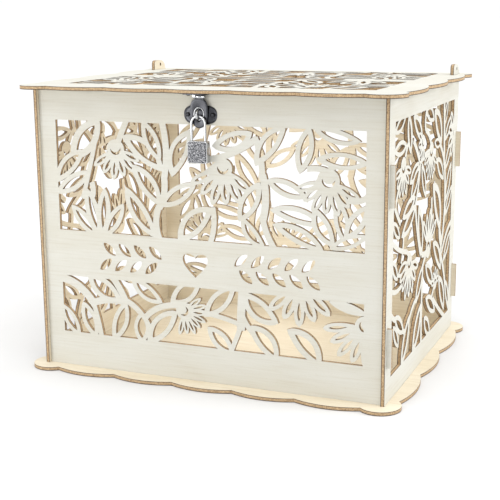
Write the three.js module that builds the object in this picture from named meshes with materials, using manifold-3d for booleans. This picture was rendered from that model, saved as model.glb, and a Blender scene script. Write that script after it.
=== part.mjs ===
// A laser-cut plywood wedding card box: base, four slotted walls, a lid that swings up at the
// back, and a wire-staple hasp closed by a small padlock.
// Millimetres, +Z up, origin at the centre of the underside, front wall towards -Y.

import * as THREE from 'three';
import Module from 'manifold-3d';
import { mergeVertices } from 'three/addons/utils/BufferGeometryUtils.js';

const wasm = await Module();
wasm.setup();

// ---------------------------------------------------------------- driving dimensions

const ply = 3; // plywood thickness
const box = { halfWidth: 150, halfDepth: 117, top: 237 };
const rimGap = 0.1; // between the walls and the plates under and over them
const slotFit = 0.15; // play round a tab in its slot
const wallTop = box.top - rimGap;
const wallBottom = ply + rimGap;
const frontFace = 114; // distance of the front and back walls' outer faces from the middle
const frontInner = frontFace - ply;

const scallop = { frontPitch: 53.3, frontCusp: 124.5, sidePitch: 67.6, sideCusp: 157.5, bulge: 5.5 };
const cornerSagitta = 16.7; // bulge of the four rounded corners

const tabs = [[33, 64], [156, 188]]; // heights of the wall tabs that pass through the side walls
const tabProud = 4; // the right-hand tabs stand this far out of the right wall
const frontFeet = { centre: 75, half: 25 };
const sideFeet = { centre: 60, half: 20 };

const ear = { rear: 117, front: 93.5, top: 249, holeY: 106, holeZ: 245, holeR: 1.5 };
const earSlot = { halfWidth: 1.9, front: 91.7, rear: 117.7 };

const frontWindows = { halfWidth: 132, lower: [32.5, 81.5], upper: [120.5, 212] };
const sideWindow = { half: 100.5, bottom: 22, top: 218 };
const lidWindows = { halfWidth: 132, rear: [20.5, 112], front: [-92, -0.5] };
const cardSlot = { halfLength: 75, centreY: 10, halfWidth: 5 };

const hasp = { x: -1, pinY: -116.7, pinZ: 234, pinR: 0.8, knuckleR: 1.5, boreR: 0.9 };
const stapleWire = { r: 0.8, centreZ: 220.5, legOffset: 3.4, bowY: -118.3, tailY: -111.2 };
const lock = { x: -1, y: -118.7, halfWidth: 7.9, halfDepth: 3.25, bottom: 183.5, top: 200 };
const shackle = { r: 1, radius: 5.8, archZ: 213.35, shortEnd: 195, longEnd: 186.5 };

// ---------------------------------------------------------------- solids and placing

const alongX = new THREE.Vector3(1, 0, 0);
const alongY = new THREE.Vector3(0, 1, 0);
const alongZ = new THREE.Vector3(0, 0, 1);
// drawn as (x, z), pushed out towards the front
const ontoFront = new THREE.Matrix4().makeBasis(alongX, alongZ, alongY.clone().negate());
// drawn as (y, z), pushed out towards +X
const ontoSide = new THREE.Matrix4().makeBasis(alongY, alongZ, alongX);

function solid(geometry) {
  const bare = geometry.index ? geometry.toNonIndexed() : geometry.clone();
  bare.deleteAttribute('normal');
  bare.deleteAttribute('uv');
  const merged = mergeVertices(bare, 1e-4);
  return new wasm.Manifold(new wasm.Mesh({
    numProp: 3,
    vertProperties: merged.attributes.position.array,
    triVerts: Uint32Array.from(merged.index.array),
  }));
}

function geometryOf(body) {
  const mesh = body.getMesh();
  const geometry = new THREE.BufferGeometry();
  geometry.setAttribute('position', new THREE.BufferAttribute(mesh.vertProperties, 3));
  geometry.setIndex(new THREE.BufferAttribute(mesh.triVerts, 1));
  const flat = geometry.toNonIndexed();
  flat.computeVertexNormals();
  return flat;
}

function joined(bodies) {
  return bodies.reduce((whole, body) => whole.add(body));
}

function shapeOf(points) {
  return new THREE.Shape(points.map(([u, v]) => new THREE.Vector2(u, v)));
}

// a plate of the given outline between two heights of its own drawing plane's normal
function plate(outline, low, high, plane) {
  const shape = outline instanceof THREE.Shape ? outline : shapeOf(outline);
  const options = { depth: high - low, bevelEnabled: false, curveSegments: 4 };
  const geometry = new THREE.ExtrudeGeometry(shape, options).translate(0, 0, low);
  return solid(plane ? geometry.applyMatrix4(plane) : geometry);
}

function rectangle(u0, u1, v0, v1) {
  return [[u0, v0], [u1, v0], [u1, v1], [u0, v1]];
}

function block(x0, x1, y0, y1, z0, z1) {
  return plate(rectangle(x0, x1, y0, y1), z0, z1);
}

// a cylinder from one point to another
function rod(from, to, r, sides = 12) {
  const start = new THREE.Vector3(...from);
  const run = new THREE.Vector3(...to).sub(start);
  const geometry = new THREE.CylinderGeometry(r, r, run.length(), sides);
  const turn = new THREE.Quaternion().setFromUnitVectors(alongY, run.clone().normalize());
  geometry.applyQuaternion(turn);
  geometry.translate(...start.addScaledVector(run, 0.5).toArray());
  return solid(geometry);
}

// a round wire along a curve
function wire(curve, r, steps, sides = 10) {
  const section = new THREE.Shape();
  for (let i = 0; i < sides; i += 1) {
    const angle = (2 * Math.PI * i) / sides;
    const point = [r * Math.cos(angle), r * Math.sin(angle)];
    if (i === 0) section.moveTo(...point);
    else section.lineTo(...point);
  }
  return solid(new THREE.ExtrudeGeometry(section, { steps, extrudePath: curve }));
}

// straight leg, half circle, straight leg, in the plane of the two unit vectors
class Bow extends THREE.Curve {
  constructor(centre, across, along, radius, firstLeg, secondLeg) {
    super();
    Object.assign(this, { centre, across, along, radius, firstLeg, secondLeg });
    this.arc = Math.PI * radius;
    this.total = firstLeg + this.arc + secondLeg;
  }

  getPoint(t) {
    const run = t * this.total;
    let side = -this.radius;
    let rise = run - this.firstLeg;
    if (run > this.firstLeg + this.arc) {
      side = this.radius;
      rise = this.firstLeg + this.arc - run;
    } else if (run > this.firstLeg) {
      const angle = (run - this.firstLeg) / this.radius;
      side = -this.radius * Math.cos(angle);
      rise = this.radius * Math.sin(angle);
    }
    return this.centre.clone().addScaledVector(this.across, side).addScaledVector(this.along, rise);
  }
}

// ---------------------------------------------------------------- fretwork

// leaf: base u, v, tip u, v, width, eye width, sideways bend
// stem: start u, v, control u, v, end u, v, width
// flower: centre u, v, petal length, first and last petal angle, petals, disc radius
const frontUpper = {
  leaves: [
    [-118, 180, -91, 214, 21, 9, 0], [-134, 160, -106, 188, 14, 6, 2],
    [-134, 151, -101, 171, 13, 5, 0], [-97, 117, -120, 142, 12, 4, 0],
    [-95, 117, -105, 157, 13, 4, 0], [-92, 117, -88, 158, 13, 4, 0],
    [-90, 117, -71, 146, 12, 4, 0], [-71, 201, -35, 174, 17, 8, 3],
    [-63, 178, -38, 146, 15, 6, 2], [-69, 160, -42, 120, 15, 6, -2],
    [-52, 214, -37, 182, 13, 5, 0], [-38, 146, -6, 166, 14, 6, 0],
    [-22, 117, 8, 147, 18, 9, 3], [-27, 170, -9, 208, 16, 8, 3],
    [8, 196, 42, 208, 15, 7, -2], [48, 170, 30, 138, 15, 7, 0],
    [33, 142, 52, 119, 11, 4, -3], [44, 182, 69, 214, 15, 7, 2],
    [80, 178, 88, 214, 14, 6, 0], [90, 214, 128, 204, 11, 4, -2],
    [93, 190, 134, 188, 13, 6, 0], [53, 172, 86, 160, 13, 5, 0],
    [56, 149, 100, 139, 13, 5, 2], [58, 138, 100, 119, 13, 5, 2],
    [92, 153, 108, 124, 14, 6, -2], [110, 161, 117, 126, 12, 5, 0],
    [116, 130, 134, 157, 13, 5, 0], [104, 122, 134, 134, 10, 4, 0],
  ],
  stems: [
    [-96, 194, -101, 174, -109, 148, 4], [-76, 192, -72, 202, -66, 214, 5],
    [-35, 214, -29, 192, -34, 168, 5.5], [-34, 170, -32, 156, -39, 144, 5.5],
    [-39, 146, -45, 132, -39, 118, 5.5], [8, 148, 11, 133, 5, 118, 4.5],
    [-9, 166, 0, 172, 12, 182, 4.5], [-12, 184, 22, 184, 46, 204, 5],
    [50, 176, 55, 158, 50, 140, 6], [50, 142, 52, 130, 60, 118, 5],
    [44, 204, 50, 190, 50, 172, 5], [84, 158, 90, 166, 98, 176, 5],
    [104, 182, 112, 190, 118, 190, 5], [-100, 150, -98, 156, -100, 162, 5],
    [86, 182, 96, 184, 104, 180, 4.5], [118, 160, 128, 158, 134, 164, 4.5],
  ],
  flowers: [
    [-77, 190, 25, 215, 338, 6, 8], [17, 179, 31, 205, 322, 6, 8], [103, 174, 28, 198, 332, 7, 9],
  ],
};

const frontLower = {
  leaves: [
    [-107, 85, -76, 64, 17, 8, -2], [-66, 85, -38, 66, 13, 6, -2],
    [-31, 66, -4, 87, 16, 8, 0], [-52, 29, -25, 60, 17, 8, 2],
    [-58, 29, -58, 56, 14, 7, 0], [-85, 29, -72, 64, 14, 6, -1],
    [-101, 29, -113, 60, 14, 6, 0], [-117, 29, -134, 56, 12, 5, 0],
    [-1, 58, 26, 86, 15, 7, 0], [33, 82, 63, 59, 17, 8, -3],
    [37, 54, 61, 27, 16, 7, 4], [70, 55, 97, 27, 17, 7, 4],
    [2, 50, 24, 29, 14, 6, 0], [104, 81, 135, 73, 8, 0, 0],
  ],
  stems: [
    [-134, 79, -114, 77, -101, 57, 7], [-105, 59, -90, 66, -71, 63, 6],
    [-85, 85, -76, 74, -71, 61, 6], [-73, 65, -59, 60, -51, 44, 5],
    [-57, 48, -44, 68, -14, 65, 5], [33, 85, 31, 68, 31, 50, 7],
    [31, 54, 27, 42, 21, 29, 4], [31, 66, 34, 56, 42, 48, 4.5],
    [-8, 62, 16, 60, 32, 54, 4], [-103, 60, -98, 44, -96, 29, 4.5],
  ],
  flowers: [
    [-19, 61, 21, 258, 398, 8, 7], [80, 92, 34, 222, 318, 5, 8], [133, 64, 34, 188, 272, 5, 8],
  ],
};

const sidePattern = {
  leaves: [
    [-103, 210, -70, 221, 11, 5, -1], [-103, 196, -66, 197, 12, 5, 0],
    [-62, 221, -53, 188, 15, 5, 0], [-48, 217, -16, 194, 14, 6, 2],
    [-8, 217, 24, 207, 13, 6, 2], [23, 215, 53, 183, 19, 8, 4],
    [26, 188, 50, 184, 9, 4, 0], [36, 173, 66, 151, 14, 6, 1],
    [65, 185, 93, 205, 12, 5, 0], [63, 198, 75, 221, 10, 4, 0],
    [68, 158, 95, 183, 13, 5, 0], [73, 128, 96, 163, 15, 7, 0],
    [74, 116, 103, 141, 12, 5, 0], [-103, 113, -85, 95, 11, 4, 0],
    [-103, 143, -81, 127, 10, 4, 0], [-75, 141, -35, 152, 13, 5, 0],
    [-77, 127, -33, 146, 14, 6, -2], [-55, 165, -25, 178, 12, 5, 0],
    [-51, 149, -21, 175, 14, 7, 2], [-17, 177, 1, 145, 12, 5, 0],
    [-24, 143, -9, 97, 17, 8, 2], [-86, 98, -57, 103, 10, 4, 0],
    [-27, 61, -2, 89, 15, 7, 0], [-69, 19, -45, 57, 17, 7, 0],
    [-33, 19, -5, 57, 19, 8, 0], [-92, 67, -63, 47, 13, 5, 0],
    [-96, 61, -78, 39, 11, 4, 0], [25, 153, 57, 106, 22, 9, 5],
    [31, 101, 65, 69, 15, 6, 3], [5, 87, 35, 63, 14, 6, 1],
    [73, 75, 103, 99, 13, 5, 0], [57, 65, 83, 27, 16, 7, 2],
    [9, 57, 47, 35, 14, 6, 1], [5, 41, 29, 19, 14, 6, 0],
    [85, 55, 102, 26, 12, 4, 0], [52, 112, 66, 88, 9, 0, 0],
  ],
  stems: [
    [60, 221, 64, 190, 66, 164, 6], [66, 166, 75, 150, 73, 118, 6],
    [73, 120, 70, 98, 58, 84, 6], [60, 86, 80, 66, 88, 42, 5],
    [87, 46, 92, 34, 103, 24, 5], [66, 84, 84, 104, 103, 106, 5],
    [36, 50, 56, 36, 86, 20, 4.5], [-4, 90, -6, 58, -3, 19, 5.5],
    [-22, 179, -23, 160, -35, 145, 4.5], [-20, 178, 0, 184, 12, 182, 5],
    [-4, 88, 4, 96, 14, 100, 5], [-24, 179, -34, 190, -46, 198, 5],
    [-50, 196, -56, 200, -57, 210, 5], [-35, 147, -30, 124, -12, 99, 5],
    [-103, 128, -88, 118, -60, 112, 4], [-60, 112, -50, 108, -48, 100, 4],
    [-103, 90, -88, 84, -72, 88, 4], [-103, 72, -96, 66, -88, 64, 4.5],
    [-98, 152, -90, 164, -80, 176, 4.5], [-103, 160, -96, 150, -80, 138, 4.5],
    [-70, 188, -66, 196, -58, 200, 4.5], [14, 188, 8, 198, -6, 202, 4.5],
    [-6, 202, -10, 208, -6, 216, 4.5], [44, 62, 36, 56, 30, 50, 4.5],
    [66, 166, 60, 176, 48, 184, 4.5], [24, 112, 24, 126, 22, 142, 5],
    [-76, 106, -70, 114, -70, 128, 4], [-9, 99, 0, 96, 10, 98, 5],
    [-46, 52, -40, 60, -27, 64, 4.5], [-72, 52, -66, 48, -58, 46, 4.5],
  ],
  flowers: [
    [-75, 181, 25, 192, 345, 7, 8], [16, 182, 26, 198, 330, 7, 8],
    [-50, 101, 31, 197, 343, 7, 8], [14, 100, 34, 35, 128, 5, 9],
    [104, 188, 26, 130, 238, 4, 8], [44, 62, 15, 10, 170, 5, 6],
    [-14, 193, 17, 150, 290, 5, 6],
  ],
};

function radians(degrees) {
  return (degrees * Math.PI) / 180;
}

// outline round a centre line: out along one side, back along the other
function ribbon(centreLine, halfWidths) {
  const left = [];
  const right = [];
  centreLine.forEach(([u, v], i) => {
    const before = centreLine[Math.max(i - 1, 0)];
    const after = centreLine[Math.min(i + 1, centreLine.length - 1)];
    const run = [after[0] - before[0], after[1] - before[1]];
    const length = Math.hypot(...run);
    const across = [(-run[1] / length) * halfWidths[i], (run[0] / length) * halfWidths[i]];
    right.push([u - across[0], v - across[1]]);
    if (halfWidths[i] > 0) left.unshift([u + across[0], v + across[1]]);
  });
  return right.concat(left);
}

function quadratic([u0, v0], [cu, cv], [u1, v1], t) {
  const s = 1 - t;
  return [s * s * u0 + 2 * s * t * cu + t * t * u1, s * s * v0 + 2 * s * t * cv + t * t * v1];
}

// pointed leaf, or its eye, between two stations along its length
function leafOutline([u0, v0, u1, v1, , , bend], width, from, to, steps) {
  const length = Math.hypot(u1 - u0, v1 - v0);
  const control = [
    (u0 + u1) / 2 - (2 * bend * (v1 - v0)) / length,
    (v0 + v1) / 2 + (2 * bend * (u1 - u0)) / length,
  ];
  const centreLine = [];
  const halfWidths = [];
  for (let i = 0; i <= steps; i += 1) {
    const share = i / steps;
    centreLine.push(quadratic([u0, v0], control, [u1, v1], from + (to - from) * share));
    halfWidths.push(i % steps === 0 ? 0 : (width / 2) * Math.sin(Math.PI * share) ** 0.7);
  }
  return ribbon(centreLine, halfWidths);
}

function stemOutline([u0, v0, cu, cv, u1, v1, width]) {
  const steps = 2;
  const centreLine = [];
  for (let i = 0; i <= steps; i += 1) {
    centreLine.push(quadratic([u0, v0], [cu, cv], [u1, v1], i / steps));
  }
  return ribbon(centreLine, centreLine.map(() => width / 2));
}

// a fan of petals on a round disc, drawn as one star-edged outline
function flowerOutline([u, v, reach, first, last, petals, disc]) {
  const pitch = radians(last - first) / (petals - 1);
  const at = (angle, r) => [u + r * Math.cos(angle), v + r * Math.sin(angle)];
  const outline = [];
  for (let i = 0; i < petals; i += 1) {
    const angle = radians(first) + i * pitch;
    outline.push(at(angle - pitch / 2, i === 0 ? disc : 0.7 * reach), at(angle, reach));
  }
  const backSteps = 4;
  const open = 2 * Math.PI - petals * pitch;
  const lastEdge = radians(last) + pitch / 2;
  for (let i = 0; i < backSteps; i += 1) {
    outline.push(at(lastEdge + (open * i) / backSteps, disc));
  }
  return outline;
}

// the same pattern moved by (du, dv) after a half turn or none
function placed(pattern, turn, du, dv) {
  const move = (list, pairs) => list.map((item) => item.map((value, i) => {
    if (i >= pairs) return value;
    return turn * value + (i % 2 ? dv : du);
  }));
  return {
    leaves: move(pattern.leaves, 4),
    stems: move(pattern.stems, 6),
    flowers: move(pattern.flowers, 2).map((item) => {
      const swing = turn < 0 ? 180 : 0;
      return [item[0], item[1], item[2], item[3] + swing, item[4] + swing, item[5], item[6]];
    }),
  };
}

// how finely leaves are drawn, the narrowest one drawn, and the narrowest one with an eye
const frontDetail = { steps: 3, leafFrom: 0, eyeFrom: 0 };
const sideDetail = { steps: 3, leafFrom: 0, eyeFrom: 14 };
const coarseDetail = { steps: 2, leafFrom: 13, eyeFrom: Infinity };

// what the laser takes out of a window: everything but the pattern, and the leaves' eyes
function fretCut(windowOutline, patterns, low, high, plane, detail) {
  const deep = (outline) => plate(outline, low - 1, high + 1, plane);
  const allLeaves = patterns.flatMap((pattern) => pattern.leaves);
  const leaves = allLeaves.filter((leaf) => leaf[4] >= detail.leafFrom);
  const stems = patterns.flatMap((pattern) => pattern.stems);
  const flowers = patterns.flatMap((pattern) => pattern.flowers);
  const wood = [
    ...leaves.map((leaf) => leafOutline(leaf, leaf[4], 0, 1, detail.steps)),
    ...stems.map(stemOutline),
    ...flowers.map(flowerOutline),
  ];
  const opening = deep(windowOutline);
  const cut = opening.subtract(joined(wood.map(deep)));
  const eyed = leaves.filter((leaf) => leaf[4] >= detail.eyeFrom && leaf[5] > 0);
  if (eyed.length === 0) return cut;
  const eyes = eyed.map((leaf) => deep(leafOutline(leaf, leaf[5], 0.2, 0.82, 2)));
  return cut.add(opening.intersect(joined(eyes)));
}

// loose scraps that no longer touch the panel fall out when it is cut
function largest(body) {
  return body.decompose().reduce((best, piece) => (piece.volume() > best.volume() ? piece : best));
}

// ---------------------------------------------------------------- plywood pieces

function arcPoints(from, to, sagitta, steps) {
  const chord = Math.hypot(to[0] - from[0], to[1] - from[1]);
  const radius = (chord * chord) / (8 * sagitta) + sagitta / 2;
  const along = [(to[0] - from[0]) / chord, (to[1] - from[1]) / chord];
  const out = [along[1], -along[0]];
  const half = Math.asin(Math.min(1, chord / 2 / radius));
  const points = [];
  for (let i = 0; i < steps; i += 1) {
    const angle = -half + (2 * half * i) / steps;
    const run = chord / 2 + radius * Math.sin(angle);
    const rise = radius * Math.cos(angle) - (radius - sagitta);
    points.push([from[0] + along[0] * run + out[0] * rise, from[1] + along[1] * run + out[1] * rise]);
  }
  return points;
}

// the scalloped outline that the base and the lid share, counter-clockwise from the front left
function scallopOutline() {
  const frontX = [-2.5, -1.5, -0.5, 0.5, 1.5, 2.5].map((k) => k * scallop.frontPitch);
  const sideY = [-1.5, -0.5, 0.5, 1.5].map((k) => k * scallop.sidePitch);
  const cusps = [
    ...frontX.map((x) => [x, -scallop.frontCusp]),
    ...sideY.map((y) => [scallop.sideCusp, y]),
    ...frontX.map((x) => [-x, scallop.frontCusp]),
    ...sideY.map((y) => [-scallop.sideCusp, -y]),
  ];
  return cusps.flatMap((cusp, i) => {
    const next = cusps[(i + 1) % cusps.length];
    const corner = cusp[0] !== next[0] && cusp[1] !== next[1];
    return arcPoints(cusp, next, corner ? cornerSagitta : scallop.bulge, corner ? 6 : 4);
  });
}

function basePlate() {
  const cuts = [];
  for (const side of [-1, 1]) {
    const wallX = side * (box.halfWidth - ply / 2);
    const wallY = side * (frontFace - ply / 2);
    const half = ply / 2 + slotFit;
    for (const end of [-1, 1]) {
      const footY = end * sideFeet.centre;
      const reachY = sideFeet.half + slotFit;
      cuts.push(block(wallX - half, wallX + half, footY - reachY, footY + reachY, -1, ply + 1));
      const footX = end * frontFeet.centre;
      const reachX = frontFeet.half + slotFit;
      cuts.push(block(footX - reachX, footX + reachX, wallY - half, wallY + half, -1, ply + 1));
    }
  }
  return plate(scallopOutline(), 0, ply).subtract(joined(cuts));
}

// outline of a front or back wall, drawn as (x, z)
function wallOutline() {
  const inner = box.halfWidth - ply - rimGap;
  const leftReach = -box.halfWidth;
  const rightReach = box.halfWidth + tabProud;
  const feet = [-1, 1].flatMap((end) => [
    [end * frontFeet.centre - frontFeet.half, wallBottom],
    [end * frontFeet.centre - frontFeet.half, 0],
    [end * frontFeet.centre + frontFeet.half, 0],
    [end * frontFeet.centre + frontFeet.half, wallBottom],
  ]);
  const rightTabs = tabs.flatMap(([low, high]) => [
    [inner, low + slotFit], [rightReach, low + slotFit],
    [rightReach, high - slotFit], [inner, high - slotFit],
  ]);
  const leftTabs = [...tabs].reverse().flatMap(([low, high]) => [
    [-inner, high - slotFit], [leftReach, high - slotFit],
    [leftReach, low + slotFit], [-inner, low + slotFit],
  ]);
  return [
    [-inner, wallBottom], ...feet, [inner, wallBottom], ...rightTabs,
    [inner, wallTop], [-inner, wallTop], ...leftTabs,
  ];
}

const heart = { x: -8, z: 101, halfWidth: 11, scale: 0.72, steps: 14 };
// sprigs: where each starts, which way it runs, and its pairs of leaves
const sprigs = [[-38, -1, 4], [26, 1, 5]];
const sprigLeaf = { pitch: 14, width: 6, reach: 11, upper: [102, 112], lower: [99, 89], lag: 4 };

function heartOutline() {
  return Array.from({ length: heart.steps }, (_, i) => {
    const angle = (2 * Math.PI * i) / heart.steps;
    const rise = 13 * Math.cos(angle) - 5 * Math.cos(2 * angle) - 2 * Math.cos(3 * angle);
    return [heart.x + heart.halfWidth * Math.sin(angle) ** 3, heart.z + heart.scale * rise];
  });
}

// a heart between two sprigs, cut through the plain band of the front wall
function bandCutOuts() {
  const { pitch, width, reach, upper, lower, lag } = sprigLeaf;
  const leaves = sprigs.flatMap(([start, facing, pairs]) => Array.from({ length: pairs }, (_, i) => {
    const u = start + facing * i * pitch;
    const v = u + facing * lag;
    return [
      [u, upper[0], u + facing * reach, upper[1], width, 0, 0],
      [v, lower[0], v + facing * reach, lower[1], width, 0, 0],
    ];
  }).flat());
  return [heartOutline(), ...leaves.map((leaf) => leafOutline(leaf, width, 0, 1, 3))];
}

const plateScrewX = 10.5;
const leafScrewX = 6;
const screw = { shankR: 0.6, holeR: 0.75, headR: 1.7 };

function frontPanel() {
  const low = frontInner;
  const high = frontFace;
  const { halfWidth, upper, lower } = frontWindows;
  const upperOpening = rectangle(-halfWidth, halfWidth, ...upper);
  const lowerOpening = rectangle(-halfWidth, halfWidth, ...lower);
  const cuts = [
    fretCut(upperOpening, [frontUpper], low, high, ontoFront, frontDetail),
    fretCut(lowerOpening, [frontLower], low, high, ontoFront, frontDetail),
    ...bandCutOuts().map((outline) => plate(outline, low - 1, high + 1, ontoFront)),
  ];
  for (const side of [-1, 1]) {
    const x = hasp.x + side * plateScrewX;
    const z = stapleWire.centreZ + side * stapleWire.legOffset;
    cuts.push(rod([x, -low + 1, 220], [x, -high - 1, 220], screw.holeR, 8));
    cuts.push(rod([hasp.x, -low + 1, z], [hasp.x, -high - 1, z], stapleWire.r + 0.2, 10));
  }
  return largest(plate(wallOutline(), low, high, ontoFront).subtract(joined(cuts)));
}

const patternMiddle = frontWindows.upper[0] + 1.5; // the half turn about this height fills the back

function backPanel() {
  const { halfWidth, upper, lower } = frontWindows;
  const opening = rectangle(-halfWidth, halfWidth, lower[0], upper[1]);
  const patterns = [frontUpper, placed(frontUpper, -1, 0, 2 * patternMiddle)];
  const cut = fretCut(opening, patterns, -frontFace, -frontInner, ontoFront, coarseDetail);
  return largest(plate(wallOutline(), -frontFace, -frontInner, ontoFront).subtract(cut));
}

// side wall drawn as (y, z), with feet below and the lid's hinge ear above its rear corner
function sideOutline() {
  const feet = [-1, 1].flatMap((end) => [
    [end * sideFeet.centre - sideFeet.half, wallBottom],
    [end * sideFeet.centre - sideFeet.half, 0],
    [end * sideFeet.centre + sideFeet.half, 0],
    [end * sideFeet.centre + sideFeet.half, wallBottom],
  ]);
  const rearRound = 12;
  const frontRound = 4;
  const shape = shapeOf([[-box.halfDepth, wallBottom], ...feet, [box.halfDepth, wallBottom]]);
  shape.lineTo(ear.rear, ear.top - rearRound);
  shape.quadraticCurveTo(ear.rear, ear.top, ear.rear - rearRound, ear.top);
  shape.lineTo(ear.front + frontRound, ear.top);
  shape.quadraticCurveTo(ear.front, ear.top, ear.front, ear.top - frontRound);
  shape.lineTo(ear.front, wallTop);
  shape.lineTo(-box.halfDepth, wallTop);
  return shape;
}

function sidePanel(side) {
  const near = box.halfWidth - ply;
  const [low, high] = side > 0 ? [near, box.halfWidth] : [-box.halfWidth, -near];
  const { half, bottom, top } = sideWindow;
  const cuts = [
    fretCut(rectangle(-half, half, bottom, top), [sidePattern], low, high, ontoSide, sideDetail),
    rod([low - 1, ear.holeY, ear.holeZ], [high + 1, ear.holeY, ear.holeZ], ear.holeR, 12),
  ];
  for (const end of [-1, 1]) {
    const wallY = end * (frontFace - ply / 2);
    const reach = ply / 2 + slotFit;
    for (const [slotLow, slotHigh] of tabs) {
      cuts.push(block(low - 1, high + 1, wallY - reach, wallY + reach, slotLow, slotHigh));
    }
  }
  return largest(plate(sideOutline(), low, high, ontoSide).subtract(joined(cuts)));
}

function lidPanel() {
  const low = box.top;
  const high = box.top + ply;
  const { halfWidth, rear, front } = lidWindows;
  const rise = rear[0] - frontWindows.upper[0];
  const rearPattern = placed(frontUpper, 1, 0, rise);
  const frontPattern = placed(frontUpper, -1, 0, front[0] + frontWindows.upper[1]);
  const { halfLength, centreY, halfWidth: slotHalf } = cardSlot;
  const cuts = [
    fretCut(rectangle(-halfWidth, halfWidth, ...rear), [rearPattern], low, high, null, coarseDetail),
    fretCut(rectangle(-halfWidth, halfWidth, ...front), [frontPattern], low, high, null, coarseDetail),
    block(-halfLength, halfLength, centreY - slotHalf, centreY + slotHalf, low - 1, high + 1),
  ];
  for (const side of [-1, 1]) {
    const x = side * (box.halfWidth - ply / 2);
    const reach = earSlot.halfWidth;
    cuts.push(block(x - reach, x + reach, earSlot.front, earSlot.rear, low - 1, high + 1));
    const screwX = hasp.x + side * leafScrewX;
    cuts.push(rod([screwX, leafScrewY, low - 1], [screwX, leafScrewY, high + 1], screw.holeR, 8));
  }
  return largest(plate(scallopOutline(), low, high).subtract(joined(cuts)));
}

// ---------------------------------------------------------------- hasp

const leafScrewY = -123;
const leafPlate = { halfWidth: 9.5, front: -127, rear: -118.2, bottom: 236, top: 236.8 };
const knuckles = [-3.5, -1.7, 1.7, 3.5]; // ends of the three barrels, from the hasp's centre
const knuckleGap = 0.1;

// a hinge barrel with a web, bored for the pin
function knuckle(from, to, web) {
  const x0 = hasp.x + from;
  const x1 = hasp.x + to;
  const { pinY, pinZ } = hasp;
  const barrel = rod([x0, pinY, pinZ], [x1, pinY, pinZ], hasp.knuckleR, 16);
  const bore = rod([x0 - 1, pinY, pinZ], [x1 + 1, pinY, pinZ], hasp.boreR, 12);
  return barrel.add(web).subtract(bore);
}

function haspLeaf() {
  const { halfWidth, front, rear, bottom, top } = leafPlate;
  const corner = 2;
  const left = hasp.x - halfWidth;
  const right = hasp.x + halfWidth;
  let body = plate([
    [left, rear], [left, front + corner], [left + corner, front],
    [right - corner, front], [right, front + corner], [right, rear],
  ], bottom, top);
  for (const [from, to] of [[knuckles[0], knuckles[1]], [knuckles[2], knuckles[3]]]) {
    const x0 = hasp.x + from;
    const x1 = hasp.x + to;
    const web = block(x0, x1, rear - 0.1, hasp.pinY - 0.2, hasp.pinZ + 0.9, top);
    body = body.add(knuckle(from, to, web));
  }
  const holes = [-1, 1].map((side) => {
    const x = hasp.x + side * leafScrewX;
    return rod([x, leafScrewY, bottom - 1], [x, leafScrewY, top + 1], screw.holeR, 8);
  });
  return body.subtract(joined(holes));
}

function haspPin() {
  const x0 = hasp.x + knuckles[0] - 0.4;
  const x1 = hasp.x + knuckles[3] + 0.4;
  return rod([x0, hasp.pinY, hasp.pinZ], [x1, hasp.pinY, hasp.pinZ], hasp.pinR, 12);
}

const flap = { front: 117.1, rear: 116.3, halfWidth: 7, top: 229.5, bottom: 209, slotHalf: 1.3 };

// the hanging flap: an oval plate with a slot that passes over the staple
function haspFlap() {
  const neck = 1.5;
  const middle = (flap.top + flap.bottom) / 2;
  const halfHeight = (flap.top - flap.bottom) / 2;
  const oval = Array.from({ length: 20 }, (_, i) => {
    const angle = (2 * Math.PI * i) / 20;
    return [hasp.x + flap.halfWidth * Math.cos(angle), middle + halfHeight * Math.sin(angle)];
  });
  const web = plate(
    rectangle(hasp.x - neck, hasp.x + neck, flap.top - 1, hasp.pinZ - 0.9),
    flap.rear, flap.front, ontoFront,
  );
  const slotTop = stapleWire.centreZ + stapleWire.legOffset + stapleWire.r + 0.5;
  const slot = plate(
    rectangle(hasp.x - flap.slotHalf, hasp.x + flap.slotHalf, flap.bottom - 1, slotTop),
    flap.rear - 1, flap.front + 1, ontoFront,
  );
  const plateBody = plate(oval, flap.rear, flap.front, ontoFront);
  const barrel = knuckle(knuckles[1] + knuckleGap, knuckles[2] - knuckleGap, web);
  return plateBody.add(barrel).subtract(slot);
}

const backing = { rear: 114.2, front: 115.2, halfWidth: 14.25, halfHeight: 7.75, z: 220 };

function haspPlate() {
  const oval = Array.from({ length: 24 }, (_, i) => {
    const angle = (2 * Math.PI * i) / 24;
    const u = hasp.x + backing.halfWidth * Math.cos(angle);
    return [u, backing.z + backing.halfHeight * Math.sin(angle)];
  });
  const cuts = [-1, 1].flatMap((side) => {
    const x = hasp.x + side * plateScrewX;
    const z = stapleWire.centreZ + side * stapleWire.legOffset;
    return [
      rod([x, -112, backing.z], [x, -117, backing.z], screw.holeR, 8),
      rod([hasp.x, -112, z], [hasp.x, -117, z], stapleWire.r + 0.1, 10),
    ];
  });
  return plate(oval, backing.rear, backing.front, ontoFront).subtract(joined(cuts));
}

function haspStaple() {
  const leg = stapleWire.tailY - stapleWire.bowY;
  const centre = new THREE.Vector3(hasp.x, stapleWire.bowY, stapleWire.centreZ);
  const forward = alongY.clone().negate();
  const bow = new Bow(centre, alongZ, forward, stapleWire.legOffset, leg, leg);
  return wire(bow, stapleWire.r, 18, 8);
}

// domed head on a short shank; along is the way the screw is driven
function screwBody(headAt, along, length) {
  const profile = [
    [0, -0.9], [screw.headR * 0.6, -0.7], [screw.headR, -0.1], [screw.headR, 0],
    [screw.shankR, 0], [screw.shankR, length - 0.6], [0, length],
  ].map(([r, h]) => new THREE.Vector2(r, h));
  const geometry = new THREE.LatheGeometry(profile, 10);
  const turn = new THREE.Quaternion().setFromUnitVectors(alongY, along);
  return solid(geometry.applyQuaternion(turn).translate(...headAt));
}

// ---------------------------------------------------------------- padlock

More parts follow.
